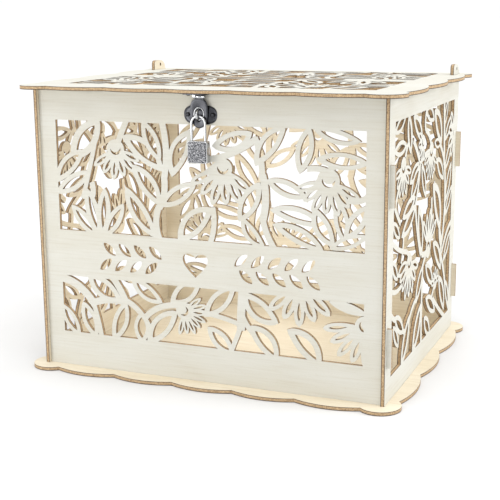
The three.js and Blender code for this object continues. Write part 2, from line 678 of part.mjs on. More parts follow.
// flat cuts in the two legs, from the wire's outside or inside to this far from its centre line
const stopGroove = { inner: 0.45, z: [187.2, 194.6] };
const boltNotch = { inner: 0.5, z: [196, 198.2] };

function padlockShackle() {
  const centre = new THREE.Vector3(lock.x, lock.y, shackle.archZ);
  const longLeg = shackle.archZ - shackle.longEnd;
  const shortLeg = shackle.archZ - shackle.shortEnd;
  const bow = new Bow(centre, alongX, alongZ, shackle.radius, longLeg, shortLeg);
  const outer = shackle.r + 0.2;
  const longX = lock.x - shackle.radius;
  const shortX = lock.x + shackle.radius;
  const front = lock.y - 2;
  const rear = lock.y + 2;
  const groove = block(longX - outer, longX - stopGroove.inner, front, rear, ...stopGroove.z);
  const notch = block(shortX - outer, shortX - boltNotch.inner, front, rear, ...boltNotch.z);
  return wire(bow, shackle.r, 26, 8).subtract(groove).subtract(notch);
}

const plug = { r: 2.3, boreR: 2.4, top: 195.4, camR: 0.5, camOffset: 0.85, camTop: 196.9 };
const keyway = { halfWidth: 0.4, front: 1.7, rear: 1.3, depth: 8 };
const bolt = { bottom: 195.8, top: 198, halfWidth: 0.95, tail: -1.8, nose: 4.6 };
const facePocket = { halfWidth: 6.5, bottom: 184.9, top: 198.6, depth: 0.4 };

function padlockBody() {
  const chamfer = 0.7;
  const { x, y, halfWidth, halfDepth, bottom, top } = lock;
  const outline = [
    [x - halfWidth + chamfer, y - halfDepth], [x + halfWidth - chamfer, y - halfDepth],
    [x + halfWidth, y - halfDepth + chamfer], [x + halfWidth, y + halfDepth - chamfer],
    [x + halfWidth - chamfer, y + halfDepth], [x - halfWidth + chamfer, y + halfDepth],
    [x - halfWidth, y + halfDepth - chamfer], [x - halfWidth, y - halfDepth + chamfer],
  ];
  const legBore = shackle.r + 0.2;
  const longX = x - shackle.radius;
  const shortX = x + shackle.radius;
  const { halfWidth: pocketHalf, depth } = facePocket;
  const cuts = [
    rod([longX, y, shackle.longEnd - 0.4], [longX, y, top + 1], legBore, 12),
    rod([shortX, y, shackle.shortEnd - 0.4], [shortX, y, top + 1], legBore, 12),
    rod([x, y, bottom - 1], [x, y, plug.top + 0.2], plug.boreR, 20),
    block(x + bolt.tail - 1.4, shortX, y - 1.5, y + 1.5, plug.top, bolt.top + 0.2),
    block(x - pocketHalf, x + pocketHalf, y - halfDepth - 1, y - halfDepth + depth,
      facePocket.bottom, facePocket.top),
    rod([stopPin.x, y - halfDepth - 1, stopPin.z], [stopPin.x, y + halfDepth + 1, stopPin.z],
      stopPin.r + 0.05, 8),
  ];
  return plate(outline, bottom, top).subtract(joined(cuts));
}

const stopPin = { x: lock.x - shackle.radius - 0.45 - 0.5, z: 194, r: 0.35 };

function padlockStopPin() {
  const reach = lock.halfDepth - facePocket.depth - 0.05;
  const { x, z, r } = stopPin;
  return rod([x, lock.y - reach, z], [x, lock.y + reach, z], r, 8);
}

function padlockFace() {
  const inset = 0.1;
  const { halfWidth, bottom, top, depth } = facePocket;
  const floor = -lock.y + lock.halfDepth - depth;
  const left = lock.x - halfWidth + inset;
  const right = lock.x + halfWidth - inset;
  const outline = rectangle(left, right, bottom + inset, top - inset);
  return plate(outline, floor + inset, floor + depth + inset, ontoFront);
}

function padlockPlug() {
  const { x, y, bottom } = lock;
  const camAngle = radians(45);
  const camX = x + plug.camOffset * Math.cos(camAngle);
  const camY = y + plug.camOffset * Math.sin(camAngle);
  const barrel = rod([x, y, bottom + 0.1], [x, y, plug.top], plug.r, 20);
  const cam = rod([camX, camY, plug.top - 1], [camX, camY, plug.camTop], plug.camR, 10);
  const slot = block(x - keyway.halfWidth, x + keyway.halfWidth, y - keyway.front, y + keyway.rear,
    bottom - 1, bottom + keyway.depth);
  return barrel.add(cam).subtract(slot);
}

function padlockBolt() {
  const { x, y } = lock;
  const camX = x + plug.camOffset * Math.cos(radians(45));
  const groove = plug.camR + 0.12;
  const { bottom, top, halfWidth, tail, nose } = bolt;
  const bar = block(x + tail, x + nose, y - halfWidth, y + halfWidth, bottom, top);
  return bar.subtract(block(camX - groove, camX + groove, y - 2, y + 2, bottom - 1, plug.camTop + 0.2));
}

// ---------------------------------------------------------------- assembly

const plywood = { color: 0xe9dfc8, roughness: 0.75, metalness: 0 };
const darkSteel = { color: 0x6f7276, roughness: 0.38, metalness: 1 };
const chrome = { color: 0xc9ccd0, roughness: 0.15, metalness: 1 };
const nickel = { color: 0xb4b7bb, roughness: 0.28, metalness: 1 };
const glitter = { color: 0x8d9095, roughness: 0.5, metalness: 0.8 };
const brass = { color: 0xb79a5b, roughness: 0.35, metalness: 1 };

const model = new THREE.Group();

function addPiece(name, body, finish) {
  const mesh = new THREE.Mesh(geometryOf(body), new THREE.MeshStandardMaterial(finish));
  mesh.name = name;
  model.add(mesh);
}

addPiece('base_plate', basePlate(), plywood);
addPiece('front_panel', frontPanel(), plywood);
addPiece('back_panel', backPanel(), plywood);
addPiece('left_panel', sidePanel(-1), plywood);
addPiece('right_panel', sidePanel(1), plywood);
addPiece('lid_panel', lidPanel(), plywood);
addPiece('hasp_leaf', haspLeaf(), darkSteel);
addPiece('hasp_pin', haspPin(), chrome);
addPiece('hasp_flap', haspFlap(), darkSteel);
addPiece('hasp_plate', haspPlate(), darkSteel);
addPiece('hasp_staple', haspStaple(), chrome);

const screwReach = 2.6;
const leafHeadZ = leafPlate.bottom - 0.1;
const plateHeadY = -backing.front - 0.1;
for (const [word, side] of [['left', -1], ['right', 1]]) {
  const leafHead = [hasp.x + side * leafScrewX, leafScrewY, leafHeadZ];
  addPiece(`leaf_screw_${word}`, screwBody(leafHead, alongZ, screwReach), chrome);
  const plateHead = [hasp.x + side * plateScrewX, plateHeadY, backing.z];
  addPiece(`plate_screw_${word}`, screwBody(plateHead, alongY, screwReach), chrome);
}

addPiece('padlock_body', padlockBody(), nickel);
addPiece('padlock_face', padlockFace(), glitter);
addPiece('padlock_shackle', padlockShackle(), chrome);
addPiece('padlock_plug', padlockPlug(), brass);
addPiece('padlock_bolt', padlockBolt(), nickel);
addPiece('padlock_stop_pin', padlockStopPin(), nickel);

export default model;
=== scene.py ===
import math

import bmesh
import bpy
import numpy as np
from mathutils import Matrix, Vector, geometry


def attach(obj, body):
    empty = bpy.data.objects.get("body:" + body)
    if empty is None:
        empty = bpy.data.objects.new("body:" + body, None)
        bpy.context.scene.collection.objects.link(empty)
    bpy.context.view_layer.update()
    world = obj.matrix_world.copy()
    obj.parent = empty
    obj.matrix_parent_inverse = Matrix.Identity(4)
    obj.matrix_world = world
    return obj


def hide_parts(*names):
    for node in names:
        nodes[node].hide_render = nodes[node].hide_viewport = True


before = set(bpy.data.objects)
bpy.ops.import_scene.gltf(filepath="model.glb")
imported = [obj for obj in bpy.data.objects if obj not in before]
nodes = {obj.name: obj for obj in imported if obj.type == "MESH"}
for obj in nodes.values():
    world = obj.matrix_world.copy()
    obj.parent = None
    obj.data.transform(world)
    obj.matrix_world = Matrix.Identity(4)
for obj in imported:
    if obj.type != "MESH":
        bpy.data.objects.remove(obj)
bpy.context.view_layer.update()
mm = 0.001


def srgb(hexCode):
    channels = [int(hexCode[i:i + 2], 16) / 255 for i in (0, 2, 4)]
    return [c / 12.92 if c <= 0.04045 else ((c + 0.055) / 1.055) ** 2.4 for c in channels] + [1.0]


def addObject(name, data):
    thing = bpy.data.objects.new(name, data)
    bpy.context.scene.collection.objects.link(thing)
    return thing


cameraView = {
    "location": (357.9, -882.0, 303.4),  # mm
    "turn": (77.31, 0.44, 22.43),  # degrees about X, Y, Z
    "lens": 78.87,
}


def makeCamera(view):
    data = bpy.data.cameras.new("camera")
    data.lens = view["lens"]
    data.sensor_width = 36
    data.clip_start = 0.01
    camera = addObject("camera", data)
    camera.location = Vector(view["location"]) * mm
    camera.rotation_euler = [math.radians(a) for a in view["turn"]]
    bpy.context.scene.camera = camera


makeCamera(cameraView)
print("camera placed")


def newMaterial(name):
    material = bpy.data.materials.new(name)
    material.use_nodes = True
    tree = material.node_tree
    return material, tree, tree.nodes["Principled BSDF"]


def addNode(tree, kind, settings=None, inputs=None, stops=()):
    # inputs are values or sockets to link; stops are the places and colours of a ramp
    node = tree.nodes.new(kind)
    for key, value in (settings or {}).items():
        setattr(node, key, value)
    for key, value in (inputs or {}).items():
        socket = node.inputs[key]
        if isinstance(value, bpy.types.NodeSocket):
            tree.links.new(value, socket)
        else:
            socket.default_value = value
    for _ in stops[2:]:
        node.color_ramp.elements.new(0.5)
    for i, (place, colour) in enumerate(stops):
        node.color_ramp.elements[i].position = place
        node.color_ramp.elements[i].color = srgb(colour)
    return node


multiply = {"data_type": "RGBA", "blend_type": "MULTIPLY"}

birch = {
    "face": ("C4C3BC", "C1C0B8", "BDBAB0"),  # light wood, its usual tone, the darker growth lines
    # painted light: the faces inside the box get a warmer, tan copy of the birch, standing in for the
    # shade and warm bounce light in there
    "inside": ("D6CDBA", "D1C7B2", "CABEA7"),
    "grainAlong": 45,  # mm that a growth line runs before it changes
    "grainAcross": 1.6,  # mm between growth lines; real ones are about 0.8, too fine to show
    "poreLength": 3.0,
    "poreWidth": 0.22,
    "poreTone": "EAE3D6",
    "figure": 26,  # mm across the slow changes of tone
    "figureTone": "FAF8F4",
    "roughness": 0.62,
    "specular": 0.3,
    "relief": 0.05,  # mm that the growth lines stand up
}


def birchPly(name, tones):
    # rotary-cut birch veneer, sanded but unfinished: pale, matt, with faint long growth lines and pores
    material, tree, shader = newMaterial(name)
    place = addNode(tree, "ShaderNodeUVMap", {"uv_map": "panel"}).outputs["UV"]

    def stretched(along, across):
        scale = (1 / along, 1 / across, 1)
        return addNode(tree, "ShaderNodeMapping", inputs={"Vector": place, "Scale": scale}).outputs[0]

    lines = addNode(tree, "ShaderNodeTexNoise", inputs={
        "Vector": stretched(birch["grainAlong"], birch["grainAcross"]), "Scale": 1.0, "Detail": 4.0,
        "Roughness": 0.6, "Distortion": 0.25}).outputs["Fac"]
    figure = addNode(tree, "ShaderNodeTexNoise", inputs={
        "Vector": stretched(birch["figure"] * 4, birch["figure"]), "Scale": 1.0, "Detail": 2.0,
        "Roughness": 0.5}).outputs["Fac"]
    pores = addNode(tree, "ShaderNodeTexNoise", inputs={
        "Vector": stretched(birch["poreLength"], birch["poreWidth"]), "Scale": 1.0, "Detail": 1.0,
        "Roughness": 0.5}).outputs["Fac"]
    base = addNode(tree, "ShaderNodeValToRGB", inputs={"Fac": lines}, stops=[
        (0.32, tones[2]), (0.46, tones[1]), (0.66, tones[0])]).outputs["Color"]
    figureTone = addNode(tree, "ShaderNodeValToRGB", inputs={"Fac": figure}, stops=[
        (0.35, birch["figureTone"]), (0.65, "FFFFFF")]).outputs["Color"]
    poreTone = addNode(tree, "ShaderNodeValToRGB", inputs={"Fac": pores}, stops=[
        (0.24, birch["poreTone"]), (0.32, "FFFFFF")]).outputs["Color"]
    figured = addNode(tree, "ShaderNodeMix", multiply, {0: 1.0, 6: base, 7: figureTone}).outputs[2]
    colour = addNode(tree, "ShaderNodeMix", multiply, {0: 1.0, 6: figured, 7: poreTone}).outputs[2]
    tree.links.new(colour, shader.inputs["Base Color"])
    shader.inputs["Roughness"].default_value = birch["roughness"]
    shader.inputs["Specular IOR Level"].default_value = birch["specular"]
    bump = addNode(tree, "ShaderNodeBump", inputs={
        "Height": lines, "Strength": 0.12, "Distance": birch["relief"] * mm})
    tree.links.new(bump.outputs["Normal"], shader.inputs["Normal"])
    return material


burnt = {
    "glue": "2E1C10",  # char at the two faces, where the beam goes in and out
    "brown": "8E6C44",  # the glue lines between the veneers
    "amber": "C9AE88",
    "shade": "A89E94",
    "streak": 1.1,  # mm between the beam's upright striations, drawn coarser than the real 0.2
    "relief": 0.05,
    "roughness": 0.7,
}


def laserEdge():
    # plywood edge cut by a laser: three veneers browned unevenly, darker at the faces and glue lines
    material, tree, shader = newMaterial("laserBurntEdge")
    depth = addNode(tree, "ShaderNodeAttribute", {"attribute_name": "plyDepth"}).outputs["Fac"]
    place = addNode(tree, "ShaderNodeTexCoord").outputs["Object"]
    scorch = addNode(tree, "ShaderNodeTexNoise", inputs={
        "Vector": place, "Scale": 1 / (burnt["streak"] * mm), "Detail": 3.0,
        "Roughness": 0.6}).outputs["Fac"]
    glue, brown, amber = burnt["glue"], burnt["brown"], burnt["amber"]
    veneers = addNode(tree, "ShaderNodeValToRGB", inputs={"Fac": depth}, stops=[
        (0.0, glue), (0.12, glue), (0.22, amber), (0.32, amber), (0.36, brown), (0.4, amber),
        (0.6, amber), (0.64, brown), (0.68, amber), (0.8, amber), (0.9, glue), (1.0, glue)])
    shade = addNode(tree, "ShaderNodeValToRGB", inputs={"Fac": scorch}, stops=[
        (0.3, burnt["shade"]), (0.7, "FFFFFF")])
    colour = addNode(tree, "ShaderNodeMix", multiply, {
        0: 1.0, 6: veneers.outputs["Color"], 7: shade.outputs["Color"]}).outputs[2]
    tree.links.new(colour, shader.inputs["Base Color"])
    shader.inputs["Roughness"].default_value = burnt["roughness"]
    bump = addNode(tree, "ShaderNodeBump", inputs={
        "Height": scorch, "Strength": 0.3, "Distance": burnt["relief"] * mm})
    tree.links.new(bump.outputs["Normal"], shader.inputs["Normal"])
    return material


metals = {
    # name: colour, roughness, how far the roughness wanders, size in mm of that wander
    "darkNickelPlate": ("3F4044", 0.26, 0.10, 2.5),
    "chromePlate": ("C2C4C7", 0.10, 0.05, 3.0),
    "nickelPlate": ("C4C6C9", 0.22, 0.08, 2.0),
    "turnedBrass": ("C7A662", 0.30, 0.08, 0.8),
}
polishMarks = {"size": 0.35, "strength": 0.08, "relief": 0.02}  # size and relief in mm


def platedMetal(name):
    # plated or turned metal: clear reflections that soften and waver a little over the surface
    colour, roughness, wander, size = metals[name]
    material, tree, shader = newMaterial(name)
    place = addNode(tree, "ShaderNodeTexCoord").outputs["Object"]
    cloud = addNode(tree, "ShaderNodeTexNoise", inputs={
        "Vector": place, "Scale": 1 / (size * mm), "Detail": 3.0}).outputs["Fac"]
    spread = addNode(tree, "ShaderNodeMapRange", inputs={
        "Value": cloud, "To Min": roughness - wander / 2, "To Max": roughness + wander / 2})
    tree.links.new(spread.outputs["Result"], shader.inputs["Roughness"])
    shader.inputs["Base Color"].default_value = srgb(colour)
    shader.inputs["Metallic"].default_value = 1.0
    fine = addNode(tree, "ShaderNodeTexNoise", inputs={
        "Vector": place, "Scale": 1 / (polishMarks["size"] * mm), "Detail": 2.0}).outputs["Fac"]
    bump = addNode(tree, "ShaderNodeBump", inputs={
        "Height": fine, "Strength": polishMarks["strength"], "Distance": polishMarks["relief"] * mm})
    tree.links.new(bump.outputs["Normal"], shader.inputs["Normal"])
    return material


lacquer = {
    "flake": 0.55,  # mm, drawn coarser than real glitter so that it shows
    "tones": ("4A4B4F", "85868A", "DADBDE"), "metallic": 0.85, "roughness": 0.38, "relief": 0.2,
}


def glitterPaint():
    # coarse metal flake in grey lacquer: each grain faces its own way, so it sparkles light and dark
    material, tree, shader = newMaterial("glitterLacquer")
    place = addNode(tree, "ShaderNodeTexCoord").outputs["Object"]
    flakes = addNode(tree, "ShaderNodeTexVoronoi", {"feature": "F1"}, {
        "Vector": place, "Scale": 1 / (lacquer["flake"] * mm)})
    tone = addNode(tree, "ShaderNodeSeparateColor", inputs={"Color": flakes.outputs["Color"]}).outputs[0]
    colour = addNode(tree, "ShaderNodeValToRGB", inputs={"Fac": tone}, stops=list(
        zip((0.15, 0.5, 0.9), lacquer["tones"]))).outputs["Color"]
    tree.links.new(colour, shader.inputs["Base Color"])
    shader.inputs["Metallic"].default_value = lacquer["metallic"]
    shader.inputs["Roughness"].default_value = lacquer["roughness"]
    bump = addNode(tree, "ShaderNodeBump", inputs={
        "Height": flakes.outputs["Distance"], "Strength": 0.6, "Distance": lacquer["relief"] * mm})
    tree.links.new(bump.outputs["Normal"], shader.inputs["Normal"])
    return material


outerPly = birchPly("birchPlyOuterVeneer", birch["face"])
# painted light: the inside faces' copy of the birch, tinted for the warm bounce light and shade inside
# the box
innerPlyPaintedBounce = birchPly("birchPlyInnerVeneer", birch["inside"])
edgePly = laserEdge()
darkNickel = platedMetal("darkNickelPlate")
chrome = platedMetal("chromePlate")
nickel = platedMetal("nickelPlate")
brass = platedMetal("turnedBrass")
glitter = glitterPaint()
print("materials made")


# fretwork, in mm on each panel's own plane
# leaf: base, tip, width, eye width, sideways bend
# stem: start, control, end, width
# flower: centre, petal length, first and last petal angle, petals, disc radius
frontUpper = {
    "leaves": [
        (-118, 180, -91, 214, 21, 9, 0), (-134, 160, -106, 188, 14, 6, 2),
        (-134, 151, -101, 171, 13, 5, 0), (-97, 117, -120, 142, 12, 4, 0),
        (-95, 117, -105, 157, 13, 4, 0), (-92, 117, -88, 158, 13, 4, 0),
        (-90, 117, -71, 146, 12, 4, 0), (-71, 201, -35, 174, 17, 8, 3),
        (-63, 178, -38, 146, 15, 6, 2), (-69, 160, -42, 120, 15, 6, -2),
        (-52, 214, -37, 182, 13, 5, 0), (-38, 146, -6, 166, 14, 6, 0),
        (-22, 117, 8, 147, 18, 9, 3), (-27, 170, -9, 208, 16, 8, 3),
        (8, 196, 42, 208, 15, 7, -2), (48, 170, 30, 138, 15, 7, 0),
        (33, 142, 52, 119, 11, 4, -3), (44, 182, 69, 214, 15, 7, 2),
        (80, 178, 88, 214, 14, 6, 0), (90, 214, 128, 204, 11, 4, -2),
        (93, 190, 134, 188, 13, 6, 0), (53, 172, 86, 160, 13, 5, 0),
        (56, 149, 100, 139, 13, 5, 2), (58, 138, 100, 119, 13, 5, 2),
        (92, 153, 108, 124, 14, 6, -2), (110, 161, 117, 126, 12, 5, 0),
        (116, 130, 134, 157, 13, 5, 0), (104, 122, 134, 134, 10, 4, 0),
    ],
    "stems": [
        (-96, 194, -101, 174, -109, 148, 4), (-76, 192, -72, 202, -66, 214, 5),
        (-35, 214, -29, 192, -34, 168, 5.5), (-34, 170, -32, 156, -39, 144, 5.5),
        (-39, 146, -45, 132, -39, 118, 5.5), (8, 148, 11, 133, 5, 118, 4.5),
        (-9, 166, 0, 172, 12, 182, 4.5), (-12, 184, 22, 184, 46, 204, 5),
        (50, 176, 55, 158, 50, 140, 6), (50, 142, 52, 130, 60, 118, 5),
        (44, 204, 50, 190, 50, 172, 5), (84, 158, 90, 166, 98, 176, 5),
        (104, 182, 112, 190, 118, 190, 5), (-100, 150, -98, 156, -100, 162, 5),
        (86, 182, 96, 184, 104, 180, 4.5), (118, 160, 128, 158, 134, 164, 4.5),
    ],
    "flowers": [
        (-77, 190, 25, 215, 338, 6, 8), (17, 179, 31, 205, 322, 6, 8), (103, 174, 28, 198, 332, 7, 9),
    ],
}

frontLower = {
    "leaves": [
        (-107, 85, -76, 64, 17, 8, -2), (-66, 85, -38, 66, 13, 6, -2),
        (-31, 66, -4, 87, 16, 8, 0), (-52, 29, -25, 60, 17, 8, 2),
        (-58, 29, -58, 56, 14, 7, 0), (-85, 29, -72, 64, 14, 6, -1),
        (-101, 29, -113, 60, 14, 6, 0), (-117, 29, -134, 56, 12, 5, 0),
        (-1, 58, 26, 86, 15, 7, 0), (33, 82, 63, 59, 17, 8, -3),
        (37, 54, 61, 27, 16, 7, 4), (70, 55, 97, 27, 17, 7, 4),
        (2, 50, 24, 29, 14, 6, 0), (104, 81, 135, 73, 8, 0, 0),
    ],
    "stems": [
        (-134, 79, -114, 77, -101, 57, 7), (-105, 59, -90, 66, -71, 63, 6),
        (-85, 85, -76, 74, -71, 61, 6), (-73, 65, -59, 60, -51, 44, 5),
        (-57, 48, -44, 68, -14, 65, 5), (33, 85, 31, 68, 31, 50, 7),
        (31, 54, 27, 42, 21, 29, 4), (31, 66, 34, 56, 42, 48, 4.5),
        (-8, 62, 16, 60, 32, 54, 4), (-103, 60, -98, 44, -96, 29, 4.5),
    ],
    "flowers": [
        (-19, 61, 21, 258, 398, 8, 7), (80, 92, 34, 222, 318, 5, 8), (133, 64, 34, 188, 272, 5, 8),
    ],
}

sidePattern = {
    "leaves": [
        (-103, 210, -70, 221, 11, 5, -1), (-103, 196, -66, 197, 12, 5, 0),
        (-62, 221, -53, 188, 15, 5, 0), (-48, 217, -16, 194, 14, 6, 2),
        (-8, 217, 24, 207, 13, 6, 2), (23, 215, 53, 183, 19, 8, 4),
        (26, 188, 50, 184, 9, 4, 0), (36, 173, 66, 151, 14, 6, 1),
        (65, 185, 93, 205, 12, 5, 0), (63, 198, 75, 221, 10, 4, 0),
        (68, 158, 95, 183, 13, 5, 0), (73, 128, 96, 163, 15, 7, 0),
        (74, 116, 103, 141, 12, 5, 0), (-103, 113, -85, 95, 11, 4, 0),
        (-103, 143, -81, 127, 10, 4, 0), (-75, 141, -35, 152, 13, 5, 0),
        (-77, 127, -33, 146, 14, 6, -2), (-55, 165, -25, 178, 12, 5, 0),
        (-51, 149, -21, 175, 14, 7, 2), (-17, 177, 1, 145, 12, 5, 0),
        (-24, 143, -9, 97, 17, 8, 2), (-86, 98, -57, 103, 10, 4, 0),
        (-27, 61, -2, 89, 15, 7, 0), (-69, 19, -45, 57, 17, 7, 0),
        (-33, 19, -5, 57, 19, 8, 0), (-92, 67, -63, 47, 13, 5, 0),
        (-96, 61, -78, 39, 11, 4, 0), (25, 153, 57, 106, 22, 9, 5),
        (31, 101, 65, 69, 15, 6, 3), (5, 87, 35, 63, 14, 6, 1),
        (73, 75, 103, 99, 13, 5, 0), (57, 65, 83, 27, 16, 7, 2),
        (9, 57, 47, 35, 14, 6, 1), (5, 41, 29, 19, 14, 6, 0),
        (85, 55, 102, 26, 12, 4, 0), (52, 112, 66, 88, 9, 0, 0),
    ],
    "stems": [
        (60, 221, 64, 190, 66, 164, 6), (66, 166, 75, 150, 73, 118, 6),
        (73, 120, 70, 98, 58, 84, 6), (60, 86, 80, 66, 88, 42, 5),
        (87, 46, 92, 34, 103, 24, 5), (66, 84, 84, 104, 103, 106, 5),
        (36, 50, 56, 36, 86, 20, 4.5), (-4, 90, -6, 58, -3, 19, 5.5),
        (-22, 179, -23, 160, -35, 145, 4.5), (-20, 178, 0, 184, 12, 182, 5),
        (-4, 88, 4, 96, 14, 100, 5), (-24, 179, -34, 190, -46, 198, 5),
        (-50, 196, -56, 200, -57, 210, 5), (-35, 147, -30, 124, -12, 99, 5),
        (-103, 128, -88, 118, -60, 112, 4), (-60, 112, -50, 108, -48, 100, 4),
        (-103, 90, -88, 84, -72, 88, 4), (-103, 72, -96, 66, -88, 64, 4.5),
        (-98, 152, -90, 164, -80, 176, 4.5), (-103, 160, -96, 150, -80, 138, 4.5),
        (-70, 188, -66, 196, -58, 200, 4.5), (14, 188, 8, 198, -6, 202, 4.5),
        (-6, 202, -10, 208, -6, 216, 4.5), (44, 62, 36, 56, 30, 50, 4.5),
        (66, 166, 60, 176, 48, 184, 4.5), (24, 112, 24, 126, 22, 142, 5),
        (-76, 106, -70, 114, -70, 128, 4), (-9, 99, 0, 96, 10, 98, 5),
        (-46, 52, -40, 60, -27, 64, 4.5), (-72, 52, -66, 48, -58, 46, 4.5),
    ],
    "flowers": [
        (-75, 181, 25, 192, 345, 7, 8), (16, 182, 26, 198, 330, 7, 8),
        (-50, 101, 31, 197, 343, 7, 8), (14, 100, 34, 35, 128, 5, 9),
        (104, 188, 26, 130, 238, 4, 8), (44, 62, 15, 10, 170, 5, 6),
        (-14, 193, 17, 150, 290, 5, 6),
    ],
}


def ribbon(centreLine, halfWidths):
    left, right = [], []
    last = len(centreLine) - 1
    for i, (u, v) in enumerate(centreLine):
        before = centreLine[max(i - 1, 0)]
        after = centreLine[min(i + 1, last)]
        run = (after[0] - before[0], after[1] - before[1])
        length = math.hypot(*run)
        across = (-run[1] / length * halfWidths[i], run[0] / length * halfWidths[i])
        right.append((u - across[0], v - across[1]))
        if halfWidths[i] > 0:
            left.append((u + across[0], v + across[1]))
    return right + left[::-1]


def quadratic(start, control, end, t):
    s = 1 - t
    return tuple(s * s * a + 2 * s * t * b + t * t * c for a, b, c in zip(start, control, end))


def leafOutline(leaf, width, first=0.0, last=1.0, steps=14, fullness=0.7, lean=0.0):
    u0, v0, u1, v1 = leaf[:4]
    bend = leaf[6] if len(leaf) > 6 else 0
    length = math.hypot(u1 - u0, v1 - v0)
    control = ((u0 + u1) / 2 - 2 * bend * (v1 - v0) / length,
               (v0 + v1) / 2 + 2 * bend * (u1 - u0) / length)
    line, halves = [], []
    for i in range(steps + 1):
        share = i / steps
        line.append(quadratic((u0, v0), control, (u1, v1), first + (last - first) * share))
        swell = math.sin(math.pi * share ** (1 + lean)) ** fullness
        halves.append(0 if i in (0, steps) else width / 2 * swell)
    return ribbon(line, halves)


def stemOutline(stem, steps=12):
    u0, v0, cu, cv, u1, v1, width = stem
    line = [quadratic((u0, v0), (cu, cv), (u1, v1), i / steps) for i in range(steps + 1)]
    return ribbon(line, [width / 2] * len(line))


def circleOutline(u, v, r, sides=28):
    return [(u + r * math.cos(2 * math.pi * i / sides), v + r * math.sin(2 * math.pi * i / sides))
            for i in range(sides)]


flowerStyle = {
    "spread": 0.6192,  # petal width against the gap between petals, at the widest place
    "shorter": 0.07,  # every other petal is this much shorter
    "slitShare": 0.34, "slitLeast": 1.3,
    "crescent": 0.58,  # radius of the cut in the disc, against the disc
}
petalShape = {"first": 0.12, "last": 1, "steps": 14, "fullness": 0.5, "lean": 0.35}
slitShape = {"first": 0.42, "last": 0.86, "steps": 10, "fullness": 0.75, "lean": 0.25}
eyeShape = {"first": 0.18, "last": 0.84, "steps": 12, "fullness": 0.8}


def flowerLayers(flower):
    u, v, reach, first, last, petals, disc = flower
    pitch = math.radians(last - first) / (petals - 1)
    spread = 2 * flowerStyle["spread"] * reach * math.sin(pitch / 2)
    slitWidth = max(flowerStyle["slitLeast"], spread * flowerStyle["slitShare"])
    layers = []
    for i in range(petals):
        angle = math.radians(first) + i * pitch
        reachHere = reach * (1 - flowerStyle["shorter"] * (i % 2))
        petal = (u, v, u + reachHere * math.cos(angle), v + reachHere * math.sin(angle))
        layers.append(("wood", leafOutline(petal, spread, **petalShape)))
        layers.append(("eye", leafOutline(petal, slitWidth, **slitShape)))
    middle = math.radians((first + last) / 2)
    layers.append(("wood", circleOutline(u, v, disc)))
    hole = flowerStyle["crescent"] * disc
    layers.append(("eye", circleOutline(u, v, hole)))
    du, dv = -0.5 * hole * math.cos(middle), -0.5 * hole * math.sin(middle)
    layers.append(("wood", circleOutline(u + du, v + dv, hole * 1.02)))
    return layers


def patternLayers(pattern):
    layers = [("wood", stemOutline(stem)) for stem in pattern["stems"]]
    for leaf in pattern["leaves"]:
        layers.append(("wood", leafOutline(leaf, leaf[4])))
        if leaf[5]:
            layers.append(("eye", leafOutline(leaf, leaf[5] * 1.08, **eyeShape)))
    for flower in pattern["flowers"]:
        layers += flowerLayers(flower)
    return layers


def turned(pattern, turn, dv):
    # turn -1 gives the pattern half a turn; dv then lifts it
    def move(items, pairs):
        return [tuple(turn * value + (dv if i % 2 else 0) if i < pairs else value
                      for i, value in enumerate(item)) for item in items]
    swing = 180 if turn < 0 else 0
    flowers = [(f[0], f[1], f[2], f[3] + swing, f[4] + swing, f[5], f[6])
               for f in move(pattern["flowers"], 2)]
    return {"leaves": move(pattern["leaves"], 4), "stems": move(pattern["stems"], 6), "flowers": flowers}


def rectangle(u0, u1, v0, v1):
    return [(u0, v0), (u1, v0), (u1, v1), (u0, v1)]


def insideOutline(points, outline):
    # true for points that a ray along u leaves through an odd number of sides
    u, v = points[:, 0], points[:, 1]
    inside = np.zeros(len(points), bool)
    ring = np.array(outline)
    for (u0, v0), (u1, v1) in zip(ring, np.roll(ring, -1, axis=0)):
        if v0 == v1:
            continue
        crossing = ((v0 > v) != (v1 > v)) & (u < (u1 - u0) * (v - v0) / (v1 - v0) + u0)
        inside ^= crossing
    return inside


def keptTriangles(layers):
    # every outline cuts one triangulation; the last outline drawn over a triangle says wood or gap
    points, edges = [], []
    for _, outline in layers:
        start = len(points)
        count = len(outline)
        points += [Vector(p) for p in outline]
        edges += [(start + i, start + (i + 1) % count) for i in range(count)]
    cells = geometry.delaunay_2d_cdt(points, edges, [], 0, 1e-4)
    corners = np.array([tuple(p) for p in cells[0]])
    triangles = np.array([list(f) for f in cells[2]])
    middles = corners[triangles].mean(axis=1)
    wood = np.zeros(len(triangles), bool)
    window = np.zeros(len(triangles), bool)
    for kind, outline in layers:
        inside = insideOutline(middles, outline)
        if kind == "sheet":
            wood |= inside
        elif kind == "window":
            window |= inside
            wood &= ~inside
        elif kind == "wood":
            wood |= inside & window
        elif kind == "eye":
            wood &= ~(inside & window)
        else:
            wood &= ~inside
    kept = triangles[wood]
    return corners, largestPart(kept)


def largestPart(triangles):
    # what hangs together along whole edges, so that no scrap is left in a gap
    parent = list(range(len(triangles)))

    def root(i):
        while parent[i] != i:
            parent[i] = parent[parent[i]]
            i = parent[i]
        return i

    owner = {}
    for i, triangle in enumerate(triangles):
        for a, b in zip(triangle, np.roll(triangle, -1)):
            key = (min(a, b), max(a, b))
            if key in owner:
                parent[root(i)] = root(owner[key])
            else:
                owner[key] = i
    roots = [root(i) for i in range(len(triangles))]
    counts = {r: roots.count(r) for r in set(roots)}
    best = max(counts, key=counts.get)
    return triangles[[i for i, r in enumerate(roots) if r == best]]


planes = {
    # panel u, v and outward directions
    "front": (Vector((1, 0, 0)), Vector((0, 0, 1)), Vector((0, -1, 0))),
    "back": (Vector((-1, 0, 0)), Vector((0, 0, 1)), Vector((0, 1, 0))),
    "right": (Vector((0, 1, 0)), Vector((0, 0, 1)), Vector((1, 0, 0))),
    "left": (Vector((0, -1, 0)), Vector((0, 0, 1)), Vector((-1, 0, 0))),
    "flat": (Vector((1, 0, 0)), Vector((0, 1, 0)), Vector((0, 0, 1))),
}


